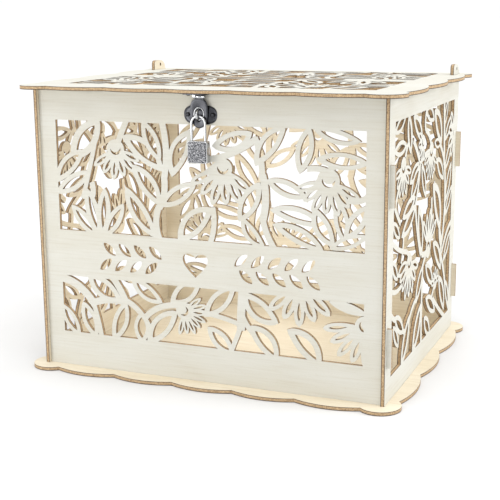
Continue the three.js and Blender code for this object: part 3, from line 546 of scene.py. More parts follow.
def plateMesh(name, layers, plane, inner, outer, grainOffset, materials):
    corners, triangles = keptTriangles(layers)
    across, up, out = planes[plane]
    used = np.unique(triangles)
    index = {old: new for new, old in enumerate(used)}
    count = len(used)
    flat = [across * corners[i][0] + up * corners[i][1] for i in used]
    points = [(p + out * inner) * mm for p in flat] + [(p + out * outer) * mm for p in flat]
    faces, kinds = [], []
    edgeUses = {}
    for triangle in triangles:
        a, b, c = (index[i] for i in triangle)
        (ax, ay), (bx, by), (cx, cy) = (corners[i] for i in triangle)
        if (bx - ax) * (cy - ay) - (cx - ax) * (by - ay) < 0:
            b, c = c, b
        faces += [(a + count, b + count, c + count), (c, b, a)]
        kinds += [0, 1]
        for edge in ((a, b), (b, c), (c, a)):
            edgeUses[edge] = edgeUses.get(edge, 0) + 1
    for a, b in edgeUses:
        if (b, a) not in edgeUses:
            faces.append((a, b, b + count, a + count))
            kinds.append(2)
    mesh = bpy.data.meshes.new(name)
    mesh.from_pydata([tuple(p) for p in points], [], faces)
    for material in materials:
        mesh.materials.append(material)
    mesh.polygons.foreach_set("material_index", [min(k, len(materials) - 1) for k in kinds])
    depth = mesh.attributes.new("plyDepth", "FLOAT", "POINT")
    depth.data.foreach_set("value", [0.0] * count + [1.0] * count)
    sheet = mesh.uv_layers.new(name="panel")
    du, dv = grainOffset
    places = [(corners[i][0] + du, corners[i][1] + dv) for i in used]
    for loop in mesh.loops:
        sheet.data[loop.index].uv = places[loop.vertex_index % count]
    mesh.polygons.foreach_set("use_smooth", [True] * len(mesh.polygons))
    mesh.set_sharp_from_angle(angle=math.radians(38))
    mesh.update()
    return addObject(name, mesh)


def finishPiece(piece, body, slotName, *replaced):
    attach(piece, body)
    if replaced:
        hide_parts(*replaced)
    return piece


box = {
    "ply": 3, "halfWidth": 150, "halfDepth": 117, "top": 237,
    "rimGap": 0.1, "slotFit": 0.15,  # play below and above the walls, and round a tab
    "wallFace": 114,  # from the middle to the outside of the front and back walls
    "tabs": [(33, 64), (156, 188)], "tabProud": 4,
    "frontFoot": (75, 25), "sideFoot": (60, 20),  # middle and half length
    "frontWindows": (132, (32.5, 81.5), (120.5, 212)),  # half width, then each bottom and top
    "sideWindow": (100.5, 22, 218),
    "lidWindows": ((20.5, 112), (-92, -0.5)),
    "cardSlot": (75, 10, 5),  # half length, middle, half width
    "ear": (117, 93.5, 249, 106, 245, 1.5),  # rear, front, top, then its hole's place and radius
    "earRounds": (12, 4),
    "earSlot": (1.9, 91.7, 117.7),
}
scallop = {"frontPitch": 53.3, "frontCusp": 124.5, "sidePitch": 67.6, "sideCusp": 157.5,
           "bulge": 5.5, "corner": 16.7, "steps": 18}
# where each panel was cut from the sheet, so that no two show the same grain
cutFrom = {
    "base": (400, 90), "front": (0, 0), "back": (900, 300), "side": (500, 700), "lid": (-300, -500),
}
holeSides = 16
plyMaterials = [outerPly, innerPlyPaintedBounce, edgePly]
wallTop = box["top"] - box["rimGap"]
wallBottom = box["ply"] + box["rimGap"]


def arcPoints(start, end, sagitta, steps):
    chord = math.hypot(end[0] - start[0], end[1] - start[1])
    radius = chord * chord / (8 * sagitta) + sagitta / 2
    along = ((end[0] - start[0]) / chord, (end[1] - start[1]) / chord)
    out = (along[1], -along[0])
    half = math.asin(min(1, chord / 2 / radius))
    points = []
    for i in range(steps):
        angle = -half + 2 * half * i / steps
        run = chord / 2 + radius * math.sin(angle)
        rise = radius * math.cos(angle) - (radius - sagitta)
        points.append((start[0] + along[0] * run + out[0] * rise,
                       start[1] + along[1] * run + out[1] * rise))
    return points


def scallopOutline():
    frontX = [k * scallop["frontPitch"] for k in (-2.5, -1.5, -0.5, 0.5, 1.5, 2.5)]
    sideY = [k * scallop["sidePitch"] for k in (-1.5, -0.5, 0.5, 1.5)]
    cusps = [(x, -scallop["frontCusp"]) for x in frontX] + [(scallop["sideCusp"], y) for y in sideY]
    cusps += [(-x, -y) for x, y in cusps]
    points = []
    for i, cusp in enumerate(cusps):
        after = cusps[(i + 1) % len(cusps)]
        corner = cusp[0] != after[0] and cusp[1] != after[1]
        bulge = scallop["corner"] if corner else scallop["bulge"]
        points += arcPoints(cusp, after, bulge, scallop["steps"])
    return points


def basePlate():
    half = box["ply"] / 2 + box["slotFit"]
    layers = [("sheet", scallopOutline())]
    for side in (-1, 1):
        for end in (-1, 1):
            wallX = side * (box["halfWidth"] - box["ply"] / 2)
            centre, reach = box["sideFoot"]
            reach += box["slotFit"]
            layers.append(("hole", rectangle(wallX - half, wallX + half,
                                             end * centre - reach, end * centre + reach)))
            wallY = side * (box["wallFace"] - box["ply"] / 2)
            centre, reach = box["frontFoot"]
            reach += box["slotFit"]
            layers.append(("hole", rectangle(end * centre - reach, end * centre + reach,
                                             wallY - half, wallY + half)))
    materials = [innerPlyPaintedBounce, outerPly, edgePly]
    piece = plateMesh("basePlate", layers, "flat", 0, box["ply"], cutFrom["base"], materials)
    return finishPiece(piece, "box", "plywood", "base_plate")


def feetPoints(foot):
    centre, half = foot
    return [(end * centre + side * half, level)
            for end in (-1, 1) for side, level in ((-1, wallBottom), (-1, 0), (1, 0), (1, wallBottom))]


def wallOutline(mirror):
    inner = box["halfWidth"] - box["ply"] - box["rimGap"]
    fit = box["slotFit"]
    points = [(-inner, wallBottom)] + feetPoints(box["frontFoot"]) + [(inner, wallBottom)]
    for low, high in box["tabs"]:
        reach = box["halfWidth"] + box["tabProud"]
        points += [(inner, low + fit), (reach, low + fit), (reach, high - fit), (inner, high - fit)]
    points += [(inner, wallTop), (-inner, wallTop)]
    for low, high in reversed(box["tabs"]):
        reach = -box["halfWidth"]
        points += [(-inner, high - fit), (reach, high - fit), (reach, low + fit), (-inner, low + fit)]
    return [(-u, v) for u, v in reversed(points)] if mirror else points


bandStyle = {
    "heart": (-8, 101, 11, 0.72),  # middle, half width, height scale
    "sprigs": ((-38, -1, 4), (26, 1, 5)),  # start, way it runs, pairs of leaves
    "pitch": 14, "leaf": 6,
    "pair": ((0, 102, 11, 112), (4, 99, 15, 89)),  # base and tip of the upper and the lower leaf
}


def bandCutOuts():
    heartU, heartV, halfWide, tall = bandStyle["heart"]
    heart = []
    for i in range(48):
        a = 2 * math.pi * i / 48
        rise = 13 * math.cos(a) - 5 * math.cos(2 * a) - 2 * math.cos(3 * a)  # the usual heart curve
        heart.append((heartU + halfWide * math.sin(a) ** 3, heartV + tall * rise))
    outlines = [heart]
    for start, facing, pairs in bandStyle["sprigs"]:
        for i in range(pairs):
            u = start + facing * i * bandStyle["pitch"]
            for du0, v0, du1, v1 in bandStyle["pair"]:
                leaf = (u + facing * du0, v0, u + facing * du1, v1)
                outlines.append(leafOutline(leaf, bandStyle["leaf"]))
    return [("hole", outline) for outline in outlines]


haspX = -1
screwHoles = {
    "plate": 10.5, "plateY": -115.3, "plateZ": 220,  # distance from the hasp's middle, then its place
    "leaf": 6, "leafY": -123, "leafZ": 235.9, "r": 0.75,
}
staple = {"z": 220.5, "leg": 3.4, "bowY": -118.3, "tailY": -111.2, "r": 0.8, "holeR": 1.0}


def frontPanel():
    half, lower, upper = box["frontWindows"]
    layers = [("sheet", wallOutline(False))]
    for (low, high), pattern in ((lower, frontLower), (upper, frontUpper)):
        layers.append(("window", rectangle(-half, half, low, high)))
        layers += patternLayers(pattern)
    layers += bandCutOuts()
    for side in (-1, 1):
        for u, v, r in ((haspX + side * screwHoles["plate"], screwHoles["plateZ"], screwHoles["r"]),
                        (haspX, staple["z"] + side * staple["leg"], staple["holeR"])):
            layers.append(("hole", circleOutline(u, v, r, holeSides)))
    face = box["wallFace"]
    piece = plateMesh("frontPanel", layers, "front", face - box["ply"], face, cutFrom["front"],
                      plyMaterials)
    return finishPiece(piece, "box", "plywood", "front_panel")


def backPanel():
    half, lower, upper = box["frontWindows"]
    mirrorZ = upper[0] + 1.5  # the same pattern stands above this height and hangs below it
    layers = [("sheet", wallOutline(True)), ("window", rectangle(-half, half, lower[0], upper[1]))]
    for pattern in (frontUpper, turned(frontUpper, -1, 2 * mirrorZ)):
        layers += [(kind, [(-u, v) for u, v in outline]) for kind, outline in patternLayers(pattern)]
    face = box["wallFace"]
    piece = plateMesh("backPanel", layers, "back", face - box["ply"], face, cutFrom["back"], plyMaterials)
    return finishPiece(piece, "box", "plywood", "back_panel")


def sideOutline():
    rear, front, top, _, _, _ = box["ear"]
    half = box["halfDepth"]
    points = [(-half, wallBottom)] + feetPoints(box["sideFoot"]) + [(half, wallBottom)]
    rearRound, frontRound = box["earRounds"]
    points += [quadratic((rear, top - rearRound), (rear, top), (rear - rearRound, top), i / 12)
               for i in range(13)]
    points += [quadratic((front + frontRound, top), (front, top), (front, top - frontRound), i / 6)
               for i in range(7)]
    return points + [(front, wallTop), (-half, wallTop)]


def sidePanel(side):
    half, bottom, top = box["sideWindow"]
    layers = [("sheet", sideOutline()), ("window", rectangle(-half, half, bottom, top))]
    layers += patternLayers(sidePattern)
    _, _, _, holeY, holeZ, holeR = box["ear"]
    layers.append(("hole", circleOutline(holeY, holeZ, holeR)))
    reach = box["ply"] / 2 + box["slotFit"]
    for end in (-1, 1):
        wallY = end * (box["wallFace"] - box["ply"] / 2)
        for low, high in box["tabs"]:
            layers.append(("hole", rectangle(wallY - reach, wallY + reach, low, high)))
    word = "right" if side > 0 else "left"
    if side < 0:
        layers = [(kind, [(-u, v) for u, v in outline]) for kind, outline in layers]
    face = box["halfWidth"]
    along, up = cutFrom["side"]
    grainOffset = (side * along, up)
    piece = plateMesh(word + "Panel", layers, word, face - box["ply"], face, grainOffset, plyMaterials)
    return finishPiece(piece, "box", "plywood", word + "_panel")


def lidPanel():
    half = box["frontWindows"][0]
    upper = box["frontWindows"][2]
    rear, front = box["lidWindows"]
    layers = [("sheet", scallopOutline())]
    patterns = ((rear, turned(frontUpper, 1, rear[0] - upper[0])),
                (front, turned(frontUpper, -1, front[0] + upper[1])))
    for (low, high), pattern in patterns:
        layers.append(("window", rectangle(-half, half, low, high)))
        layers += patternLayers(pattern)
    halfLength, centreY, slotHalf = box["cardSlot"]
    layers.append(("hole", rectangle(-halfLength, halfLength, centreY - slotHalf, centreY + slotHalf)))
    reach, low, high = box["earSlot"]
    for side in (-1, 1):
        x = side * (box["halfWidth"] - box["ply"] / 2)
        layers.append(("hole", rectangle(x - reach, x + reach, low, high)))
        screwX = haspX + side * screwHoles["leaf"]
        layers.append(("hole", circleOutline(screwX, screwHoles["leafY"], screwHoles["r"], holeSides)))
    top = box["top"]
    piece = plateMesh("lidPanel", layers, "flat", top, top + box["ply"], cutFrom["lid"], plyMaterials)
    return finishPiece(piece, "lid", "plywood", "lid_panel")


basePlate()
frontPanel()
backPanel()
sidePanel(-1)
sidePanel(1)
lidPanel()
print("plywood panels cut")


def metalPiece(name, shells, materials, smoothAngle=35):
    points, faces = [], []
    for shellPoints, shellFaces in shells:
        start = len(points)
        points += [tuple(c * mm for c in p) for p in shellPoints]
        faces += [tuple(i + start for i in face) for face in shellFaces]
    mesh = bpy.data.meshes.new(name)
    mesh.from_pydata(points, [], faces)
    for material in materials:
        mesh.materials.append(material)
    piece = addObject(name, mesh)
    tidyMesh(mesh, smoothAngle)
    return piece


def tidyMesh(mesh, smoothAngle=35):
    work = bmesh.new()
    work.from_mesh(mesh)
    bmesh.ops.recalc_face_normals(work, faces=work.faces)
    work.to_mesh(mesh)
    work.free()
    mesh.polygons.foreach_set("use_smooth", [True] * len(mesh.polygons))
    mesh.set_sharp_from_angle(angle=math.radians(smoothAngle))
    mesh.update()


def stackRings(rings, closed=False):
    # one skin over equal rings of points, capped at both ends or joined end to end
    count = len(rings[0])
    points = [p for ring in rings for p in ring]
    faces = []
    for i in range(len(rings) if closed else len(rings) - 1):
        here, there = i * count, (i + 1) % len(rings) * count
        for k in range(count):
            after = (k + 1) % count
            faces.append((here + k, here + after, there + after, there + k))
    if not closed:
        faces += [tuple(range(count)), tuple(range(len(points) - count, len(points)))]
    return points, faces


def turnedShell(profile, centre, axis, sides=32):
    # profile is radius and height along the axis
    axis = Vector(axis).normalized()
    across = axis.orthogonal().normalized()
    other = axis.cross(across)
    rings = []
    for r, rise in profile:
        ring = []
        for i in range(sides):
            angle = 2 * math.pi * i / sides
            spoke = across * math.cos(angle) + other * math.sin(angle)
            ring.append(Vector(centre) + axis * rise + spoke * r)
        rings.append(ring)
    return stackRings(rings)


def barrelShell(x0, x1, y, z, r, chamfer=0.15):
    profile = [(r - chamfer, 0), (r, chamfer), (r, x1 - x0 - chamfer), (r - chamfer, x1 - x0)]
    return turnedShell(profile, (x0, y, z), (1, 0, 0))


def blockShell(x0, x1, y0, y1, z0, z1):
    return stackRings([[(x0, y0, z), (x1, y0, z), (x1, y1, z), (x0, y1, z)] for z in (z0, z1)])


def cutAway(piece, *shells):
    cutter = metalPiece("cutter", list(shells), [])
    cut = piece.modifiers.new("cut", "BOOLEAN")
    cut.operation = "DIFFERENCE"
    cut.solver = "EXACT"
    cut.object = cutter
    bakeModifiers(piece)
    bpy.data.objects.remove(cutter)
    tidyMesh(piece.data)


def bakeModifiers(piece):
    bpy.context.view_layer.update()
    evaluated = piece.evaluated_get(bpy.context.evaluated_depsgraph_get())
    baked = bpy.data.meshes.new_from_object(evaluated)
    piece.modifiers.clear()
    piece.data = baked
    baked.name = piece.name


def runNodes(piece, tree, values):
    modifier = piece.modifiers.new("nodes", "NODES")
    modifier.node_group = tree
    for item in tree.interface.items_tree:
        if item.item_type == "SOCKET" and item.in_out == "INPUT" and item.name in values:
            modifier[item.identifier] = values[item.name]
    bakeModifiers(piece)


def newNodeGroup(name, inputs):
    tree = bpy.data.node_groups.new(name, "GeometryNodeTree")
    tree.interface.new_socket("Geometry", in_out="INPUT", socket_type="NodeSocketGeometry")
    for label, kind in inputs:
        tree.interface.new_socket(label, in_out="INPUT", socket_type=kind)
    tree.interface.new_socket("Geometry", in_out="OUTPUT", socket_type="NodeSocketGeometry")
    return tree, addNode(tree, "NodeGroupInput").outputs


def endGroup(tree, geometrySocket, material):
    # the export drops instances, so they are made real here
    whole = addNode(tree, "GeometryNodeRealizeInstances", inputs={"Geometry": geometrySocket})
    painted = addNode(tree, "GeometryNodeSetMaterial", inputs={
        "Geometry": whole.outputs[0], "Material": material})
    addNode(tree, "NodeGroupOutput", inputs={"Geometry": painted.outputs[0]})


def makeWireTree():
    # round wire swept along the piece's own line of edges
    tree, given = newNodeGroup("bentWire", [
        ("Wire radius", "NodeSocketFloat"), ("Sides", "NodeSocketInt"), ("Metal", "NodeSocketMaterial")])
    curve = addNode(tree, "GeometryNodeMeshToCurve", inputs={"Mesh": given["Geometry"]})
    section = addNode(tree, "GeometryNodeCurvePrimitiveCircle", inputs={
        "Resolution": given["Sides"], "Radius": given["Wire radius"]})
    swept = addNode(tree, "GeometryNodeCurveToMesh", inputs={
        "Curve": curve.outputs[0], "Profile Curve": section.outputs[0], "Fill Caps": True})
    endGroup(tree, swept.outputs[0], given["Metal"])
    return tree


wireTree = makeWireTree()


def bentWire(name, path, r, metal, sides=20):
    mesh = bpy.data.meshes.new(name)
    links = [(i, i + 1) for i in range(len(path) - 1)]
    mesh.from_pydata([tuple(c * mm for c in p) for p in path], links, [])
    piece = addObject(name, mesh)
    runNodes(piece, wireTree, {"Wire radius": r * mm, "Sides": sides, "Metal": metal})
    tidyMesh(piece.data, 40)
    return piece


def roundedRectangle(halfU, halfV, r, perCorner=6):
    points = []
    for turn, (su, sv) in enumerate(((1, 1), (-1, 1), (-1, -1), (1, -1))):
        for i in range(perCorner + 1):
            angle = math.pi / 2 * (turn + i / perCorner)
            points.append((su * (halfU - r) + r * math.cos(angle),
                           sv * (halfV - r) + r * math.sin(angle)))
    return points


def onFront(outline, y, x0=0, z0=0):
    return [(x0 + u, y, z0 + v) for u, v in outline]


haspPlateSize = {
    "halfWidth": 14.25, "halfHeight": 7.75, "z": 220, "fullness": 0.78, "sides": 72,
    # share of the outline, and how far the metal stands from the box's middle there
    "profile": [(0.98, 114.2), (1.0, 115.0), (0.99, 115.5), (0.965, 115.7), (0.94, 115.65),
                (0.91, 115.35), (0.88, 115.2), (0.7, 115.5), (0.4, 115.8), (0.05, 116.0)],
    "fall": 1.5,  # mm that the domed lobes fall away at each side
    "seat": 114.3,  # what lies behind this stays flat against the wall
}


def fullOval(angle, halfU, halfV, fullness):
    # fullness 1 is an ellipse, and less than 1 is squarer
    c, s = math.cos(angle), math.sin(angle)
    return (math.copysign(abs(c) ** fullness, c) * halfU, math.copysign(abs(s) ** fullness, s) * halfV)


def haspPlate():
    size = haspPlateSize
    rings = []
    for share, depth in size["profile"]:
        ring = []
        for i in range(size["sides"]):
            angle = 2 * math.pi * i / size["sides"]
            u, v = fullOval(angle, size["halfWidth"], size["halfHeight"], size["fullness"])
            fall = size["fall"] * (share * u / size["halfWidth"]) ** 2 if depth > size["seat"] else 0
            ring.append((haspX + share * u, fall - depth, size["z"] + share * v))
        rings.append(ring)
    piece = metalPiece("haspPlate", [stackRings(rings)], [darkNickel], 50)
    finishPiece(piece, "box", "hasp_steel", "hasp_plate")


flapSize = {
    "halfWidth": 7.5, "halfHeight": 11.3, "z": 221, "rear": 116.3, "front": 117.1, "sides": 64,
    "crown": 0.6,  # fullness of the upper half
    "slot": (1.35, 5.6, 220.3),  # half width, half height, middle
    "neck": (4.4, 3.5),  # half width below and above
    "rim": (4.0, 4.6, 220.9, 0.5),  # half width, half height, middle, wire radius
}
knuckle = {"y": -116.7, "z": 234, "r": 1.5, "ends": (-5.0, -2.6, 2.6, 5.0), "gap": 0.1, "rise": 0.9}


def rimShell(halfU, halfV, z, r, around=56, section=10):
    # rolled bead round the slot
    rings = []
    for i in range(around):
        angle = 2 * math.pi * i / around
        u, v = halfU * math.cos(angle), halfV * math.sin(angle)
        centre = Vector((haspX + u, -flapSize["front"], z + v))
        out = Vector((math.cos(angle) * halfV, 0, math.sin(angle) * halfU)).normalized()
        rings.append([centre + (out * math.cos(a) + Vector((0, -1, 0)) * math.sin(a)) * r
                      for a in (2 * math.pi * k / section for k in range(section))])
    return stackRings(rings, closed=True)


def haspFlap():
    size = flapSize
    slotHalf, slotReach, slotZ = size["slot"]

    def outer(angle, inset):
        power = size["crown"] if math.sin(angle) > 0 else 1
        u, v = fullOval(angle, size["halfWidth"] - inset, size["halfHeight"] - inset, power)
        return u, size["z"] + v

    def inner(angle, grow):
        reach = slotReach - slotHalf
        u = (slotHalf + grow) * math.cos(angle)
        v = (slotHalf + grow) * math.sin(angle) + (reach if math.sin(angle) >= 0 else -reach)
        return u, slotZ + v

    rear, front = size["rear"], size["front"]
    middle = (rear + front) / 2
    # once round the pressed sheet: which outline, how far in from it, how far forward
    section = [(outer, 0, middle - 0.2), (outer, 0, middle + 0.15), (outer, 0.12, front - 0.08),
               (outer, 0.35, front), (outer, 1.3, front), (inner, 0.5, front - 0.05),
               (inner, 0.15, front - 0.12), (inner, 0, middle), (inner, 0.1, rear), (outer, 0.2, rear)]
    rings = []
    for edge, offset, depth in section:
        ring = []
        for i in range(size["sides"]):
            u, v = edge(2 * math.pi * i / size["sides"], offset)
            ring.append((haspX + u, -depth, v))
        rings.append(ring)
    y, z = knuckle["y"], knuckle["z"]
    low, high = knuckle["ends"][1] + knuckle["gap"], knuckle["ends"][2] - knuckle["gap"]
    lowerHalf, upperHalf = size["neck"]
    crest = size["z"] + size["halfHeight"]
    neckLevels = [(lowerHalf, crest - 0.8), (upperHalf, crest), (upperHalf, z - knuckle["rise"])]
    neck = stackRings([[(haspX - w, 0.05 - front, v), (haspX + w, 0.05 - front, v),
                        (haspX + w, -rear, v), (haspX - w, -rear, v)] for w, v in neckLevels])
    barrel = barrelShell(haspX + low, haspX + high, y, z, knuckle["r"])
    shells = [(stackRings(rings, closed=True), 0), (neck, 0), (barrel, 1), (rimShell(*size["rim"]), 1)]
    piece = metalPiece("haspFlap", [shell for shell, _ in shells], [darkNickel, chrome], 50)
    kinds = [kind for shell, kind in shells for _ in shell[1]]
    piece.data.polygons.foreach_set("material_index", kinds)
    finishPiece(piece, "flap", "hasp_steel", "hasp_flap")


leafSize = {"halfWidth": 9.5, "front": -127, "rear": -118.2, "bottom": 236, "top": 236.8, "corner": 2,
            "paintedShadeBeyond": 8}


def haspLeaf():
    size = leafSize
    left, right = haspX - size["halfWidth"], haspX + size["halfWidth"]
    front, rear, corner = size["front"], size["rear"], size["corner"]
    outline = [(left, rear)]
    outline += [quadratic((left, front + corner), (left, front), (left + corner, front), i / 6)
                for i in range(7)]
    outline += [quadratic((right - corner, front), (right, front), (right, front + corner), i / 6)
                for i in range(7)]
    outline.append((right, rear))
    shells = [stackRings([[(x, y, z) for x, y in outline] for z in (size["bottom"], size["top"])])]
    ends = knuckle["ends"]
    for low, high in ((ends[0], ends[1]), (ends[2], ends[3])):
        x0, x1 = haspX + low, haspX + high
        shells.append(barrelShell(x0, x1, knuckle["y"], knuckle["z"], knuckle["r"]))
        foot = knuckle["z"] + knuckle["rise"]
        shells.append(blockShell(x0, x1, rear - 0.1, knuckle["y"] - 0.2, foot, size["top"]))
    piece = metalPiece("haspLeaf", shells, [darkNickel, chrome])
    for face in piece.data.polygons:  # knuckle faces near the middle are bright chrome; past that width the dark nickel is kept as painted shade under the lid
        x, _, z = face.center / mm
        if abs(x - haspX) < size["paintedShadeBeyond"] and z < size["bottom"] - 0.001:
            face.material_index = 1
    finishPiece(piece, "lid", "hasp_steel", "hasp_leaf")


def haspStaple():
    y0, y1, r = staple["tailY"], staple["bowY"], staple["leg"]
    path = [(haspX, y0, staple["z"] - r)]
    steps = 24
    for i in range(steps + 1):
        angle = math.pi * i / steps
        path.append((haspX, y1 - r * math.sin(angle), staple["z"] - r * math.cos(angle)))
    path.append((haspX, y0, staple["z"] + r))
    piece = bentWire("haspStaple", path, staple["r"], chrome)
    finishPiece(piece, "box", "chrome_wire", "hasp_staple")


screwSize = {
    "headR": 1.7, "shankR": 0.6, "rise": 0.9, "length": 2.6,
    "recess": (0.22, 1.0, 0.5),  # half width, reach and depth of the cross
}


def makeScrewTree():
    # the same screw at every point of the piece
    tree, given = newNodeGroup("screwAtEachPoint", [
        ("Screw", "NodeSocketObject"), ("Metal", "NodeSocketMaterial")])
    screw = addNode(tree, "GeometryNodeObjectInfo", inputs={"Object": given["Screw"]})
    placed = addNode(tree, "GeometryNodeInstanceOnPoints", inputs={
        "Points": given["Geometry"], "Instance": screw.outputs["Geometry"]})
    endGroup(tree, placed.outputs[0], given["Metal"])
    return tree


screwTree = makeScrewTree()


def panHeadScrew(axis):
    # pan head with a cross recess; axis is the way the screw is driven
    drive = Vector(axis)
    across = drive.orthogonal().normalized()
    other = drive.cross(across)
    r, shankR, rise, length = (screwSize[key] for key in ("headR", "shankR", "rise", "length"))
    profile = [(0.1, -rise), (0.35 * r, -rise), (0.65 * r, -0.86 * rise), (0.88 * r, -0.55 * rise),
               (r, -0.15 * rise), (r, 0), (shankR, 0), (shankR, length - 0.6), (0.1, length)]
    half, reach, deep = screwSize["recess"]
    screw = metalPiece("screw", [turnedShell(profile, (0, 0, 0), drive)], [darkNickel])
    for long, short in ((across, other), (other, across)):
        corners = [long * (su * reach) + short * (sv * half)
                   for su, sv in ((-1, -1), (1, -1), (1, 1), (-1, 1))]
        cutAway(screw, stackRings([[c + drive * level for c in corners]
                                   for level in (-rise - 0.3, -rise + deep)]))
    return screw


def screws(name, places, axis, body, *replaced):
    screw = panHeadScrew(axis)
    mesh = bpy.data.meshes.new(name)
    mesh.from_pydata([tuple(c * mm for c in place) for place in places], [], [])
    piece = addObject(name, mesh)
    runNodes(piece, screwTree, {"Screw": screw, "Metal": darkNickel})
    bpy.data.objects.remove(screw)
    tidyMesh(piece.data)
    finishPiece(piece, body, "chrome_wire", *replaced)


lock = {
    "x": -1, "y": -118.7, "halfWidth": 8.3, "halfDepth": 3.25, "bottom": 183.1, "top": 200.2,
    "edge": 0.55, "corner": 1.1, "lip": 0.15, "play": 0.2,  # play round the shackle's legs
}
shackle = {
    "r": 1, "radius": 5.8, "archZ": 213.35, "shortEnd": 195, "longEnd": 186.5,
    "groove": (187.2, 194.6, 0.45), "notch": (196, 198.2, 0.5),  # bottom, top, depth of cut
    "sides": 24, "archSteps": 40,
}
facePocket = {"halfWidth": 7.6, "halfHeight": 7.9, "corner": 0.5, "depth": 0.5}
facePlate = {"proud": 0.1, "gap": 0.3, "border": 0.5, "corner": 0.3}
plug = {
    "r": 2.3, "boreR": 2.4, "top": 195.4, "chamfer": 0.3, "sides": 40,
    "keyway": (0.4, -1.7, 1.3, 8),  # half width, front, rear, depth
}
lockMiddle = (lock["bottom"] + lock["top"]) / 2
lockFront = lock["y"] - lock["halfDepth"]


def padlockBody():
    halfHeight = (lock["top"] - lock["bottom"]) / 2
    edge, corner, lip, turnR = lock["edge"], lock["corner"], lock["lip"], facePocket["corner"]
    floorY = lockFront + facePocket["depth"]
    pocketU, pocketV = facePocket["halfWidth"], facePocket["halfHeight"]
    rings = [(pocketU, pocketV, turnR, floorY), (pocketU, pocketV, turnR, lockFront + lip),
             (pocketU + lip, pocketV + lip, turnR + 0.1, lockFront)]
    rear = lock["y"] + lock["halfDepth"]
    for side, face in ((-1, lockFront), (1, rear)):
        steps = range(5) if side < 0 else range(4, -1, -1)
        for i in steps:
            angle = math.pi / 2 * i / 4
            inset = edge * (1 - math.sin(angle))
            y = face - side * edge * (1 - math.cos(angle))
            rings.append((lock["halfWidth"] - inset, halfHeight - inset, corner, y))
    stack = [onFront(roundedRectangle(u, v, r), y, lock["x"], lockMiddle) for u, v, r, y in rings]
    piece = metalPiece("padlockBody", [stackRings(stack)], [nickel, darkNickel], 45)
    for face in piece.data.polygons:  # the pocket walls and floor get dark nickel as painted shade in the gap, so the plate gets a dark outline
        x, y, z = face.center / mm
        inPocketPaintedShade = abs(x - lock["x"]) < pocketU + lip / 2 and abs(z - lockMiddle) < pocketV + lip / 2
        if inPocketPaintedShade and lockFront + lip < y <= floorY + lip:
            face.material_index = 1
    bore = shackle["r"] + lock["play"]
    longX, shortX = lock["x"] - shackle["radius"], lock["x"] + shackle["radius"]
    top = lock["top"] + 1
    for x, legEnd in ((longX, shackle["longEnd"]), (shortX, shackle["shortEnd"])):
        end = legEnd - 2 * lock["play"]
        cutAway(piece, turnedShell([(bore, 0), (bore, top - end)], (x, lock["y"], end), (0, 0, 1)))
    plugHole = [(plug["boreR"], 0), (plug["boreR"], plug["top"] + lock["play"] - lock["bottom"] + 1)]
    cutAway(piece, turnedShell(plugHole, (lock["x"], lock["y"], lock["bottom"] - 1), (0, 0, 1)))
    finishPiece(piece, "padlock", "padlock_nickel", "padlock_body")


grains = {"perSquareMm": 9, "r": 0.26, "thick": 0.1, "tilt": 34, "seed": 7}  # mm and degrees


def makeGrainTree():
    # thin six-sided flakes, thrown over the face and tilted at random
    tree, given = newNodeGroup("glitterGrains", [
        ("Density", "NodeSocketFloat"), ("Grain radius", "NodeSocketFloat"),
        ("Thickness", "NodeSocketFloat"), ("Tilt", "NodeSocketFloat"), ("Seed", "NodeSocketInt"),
        ("Lacquer", "NodeSocketMaterial")])
    normal = addNode(tree, "GeometryNodeInputNormal").outputs[0]
    toFront = {"data_type": "VECTOR", "mode": "DOT_PRODUCT", "operation": "GREATER_THAN"}
    facing = addNode(tree, "FunctionNodeCompare", toFront, {"A": normal, "B": (0, -1, 0), "C": 0.9})
    points = addNode(tree, "GeometryNodeDistributePointsOnFaces", inputs={
        "Mesh": given["Geometry"], "Selection": facing.outputs[0], "Density": given["Density"],
        "Seed": given["Seed"]})
    flake = addNode(tree, "GeometryNodeMeshCylinder", inputs={
        "Vertices": 6, "Radius": given["Grain radius"], "Depth": given["Thickness"]})
    low = addNode(tree, "ShaderNodeMath", {"operation": "MULTIPLY"}, {0: given["Tilt"], 1: -1.0})
    lows = addNode(tree, "ShaderNodeCombineXYZ", inputs={0: low.outputs[0], 1: low.outputs[0], 2: 0.0})
    highs = addNode(tree, "ShaderNodeCombineXYZ", inputs={0: given["Tilt"], 1: given["Tilt"], 2: math.pi})
    turn = addNode(tree, "FunctionNodeRandomValue", {"data_type": "FLOAT_VECTOR"}, {
        0: lows.outputs[0], 1: highs.outputs[0], "Seed": given["Seed"]})
    placed = addNode(tree, "GeometryNodeInstanceOnPoints", inputs={
        "Points": points.outputs["Points"], "Instance": flake.outputs["Mesh"],
        "Rotation": points.outputs["Rotation"]})
    tilted = addNode(tree, "GeometryNodeRotateInstances", inputs={
        "Instances": placed.outputs[0], "Rotation": turn.outputs[0], "Local Space": True})
    endGroup(tree, tilted.outputs[0], given["Lacquer"])
    return tree


def padlockFace():
    gap, border = facePlate["gap"], facePlate["border"]
    halfU, halfV = facePocket["halfWidth"] - gap, facePocket["halfHeight"] - gap
    faceY = lockFront - facePlate["proud"]
    rings = [(halfU, halfV, lockFront + facePocket["depth"] - 0.1), (halfU, halfV, faceY + 0.2),
             (halfU - border, halfV - border, faceY + 0.1), (halfU - border, halfV - border, faceY)]
    stack = [onFront(roundedRectangle(u, v, facePlate["corner"]), y, lock["x"], lockMiddle)
             for u, v, y in rings]
    piece = metalPiece("padlockFace", [stackRings(stack)], [darkNickel])
    finishPiece(piece, "padlock", "padlock_glitter", "padlock_face")
    piece = metalPiece("padlockGrains", [stackRings(stack)], [darkNickel])
    runNodes(piece, makeGrainTree(), {
        "Density": grains["perSquareMm"] / mm / mm, "Grain radius": grains["r"] * mm,
        "Thickness": grains["thick"] * mm, "Tilt": math.radians(grains["tilt"]),
        "Seed": grains["seed"], "Lacquer": glitter})
    finishPiece(piece, "padlock", "padlock_glitter")


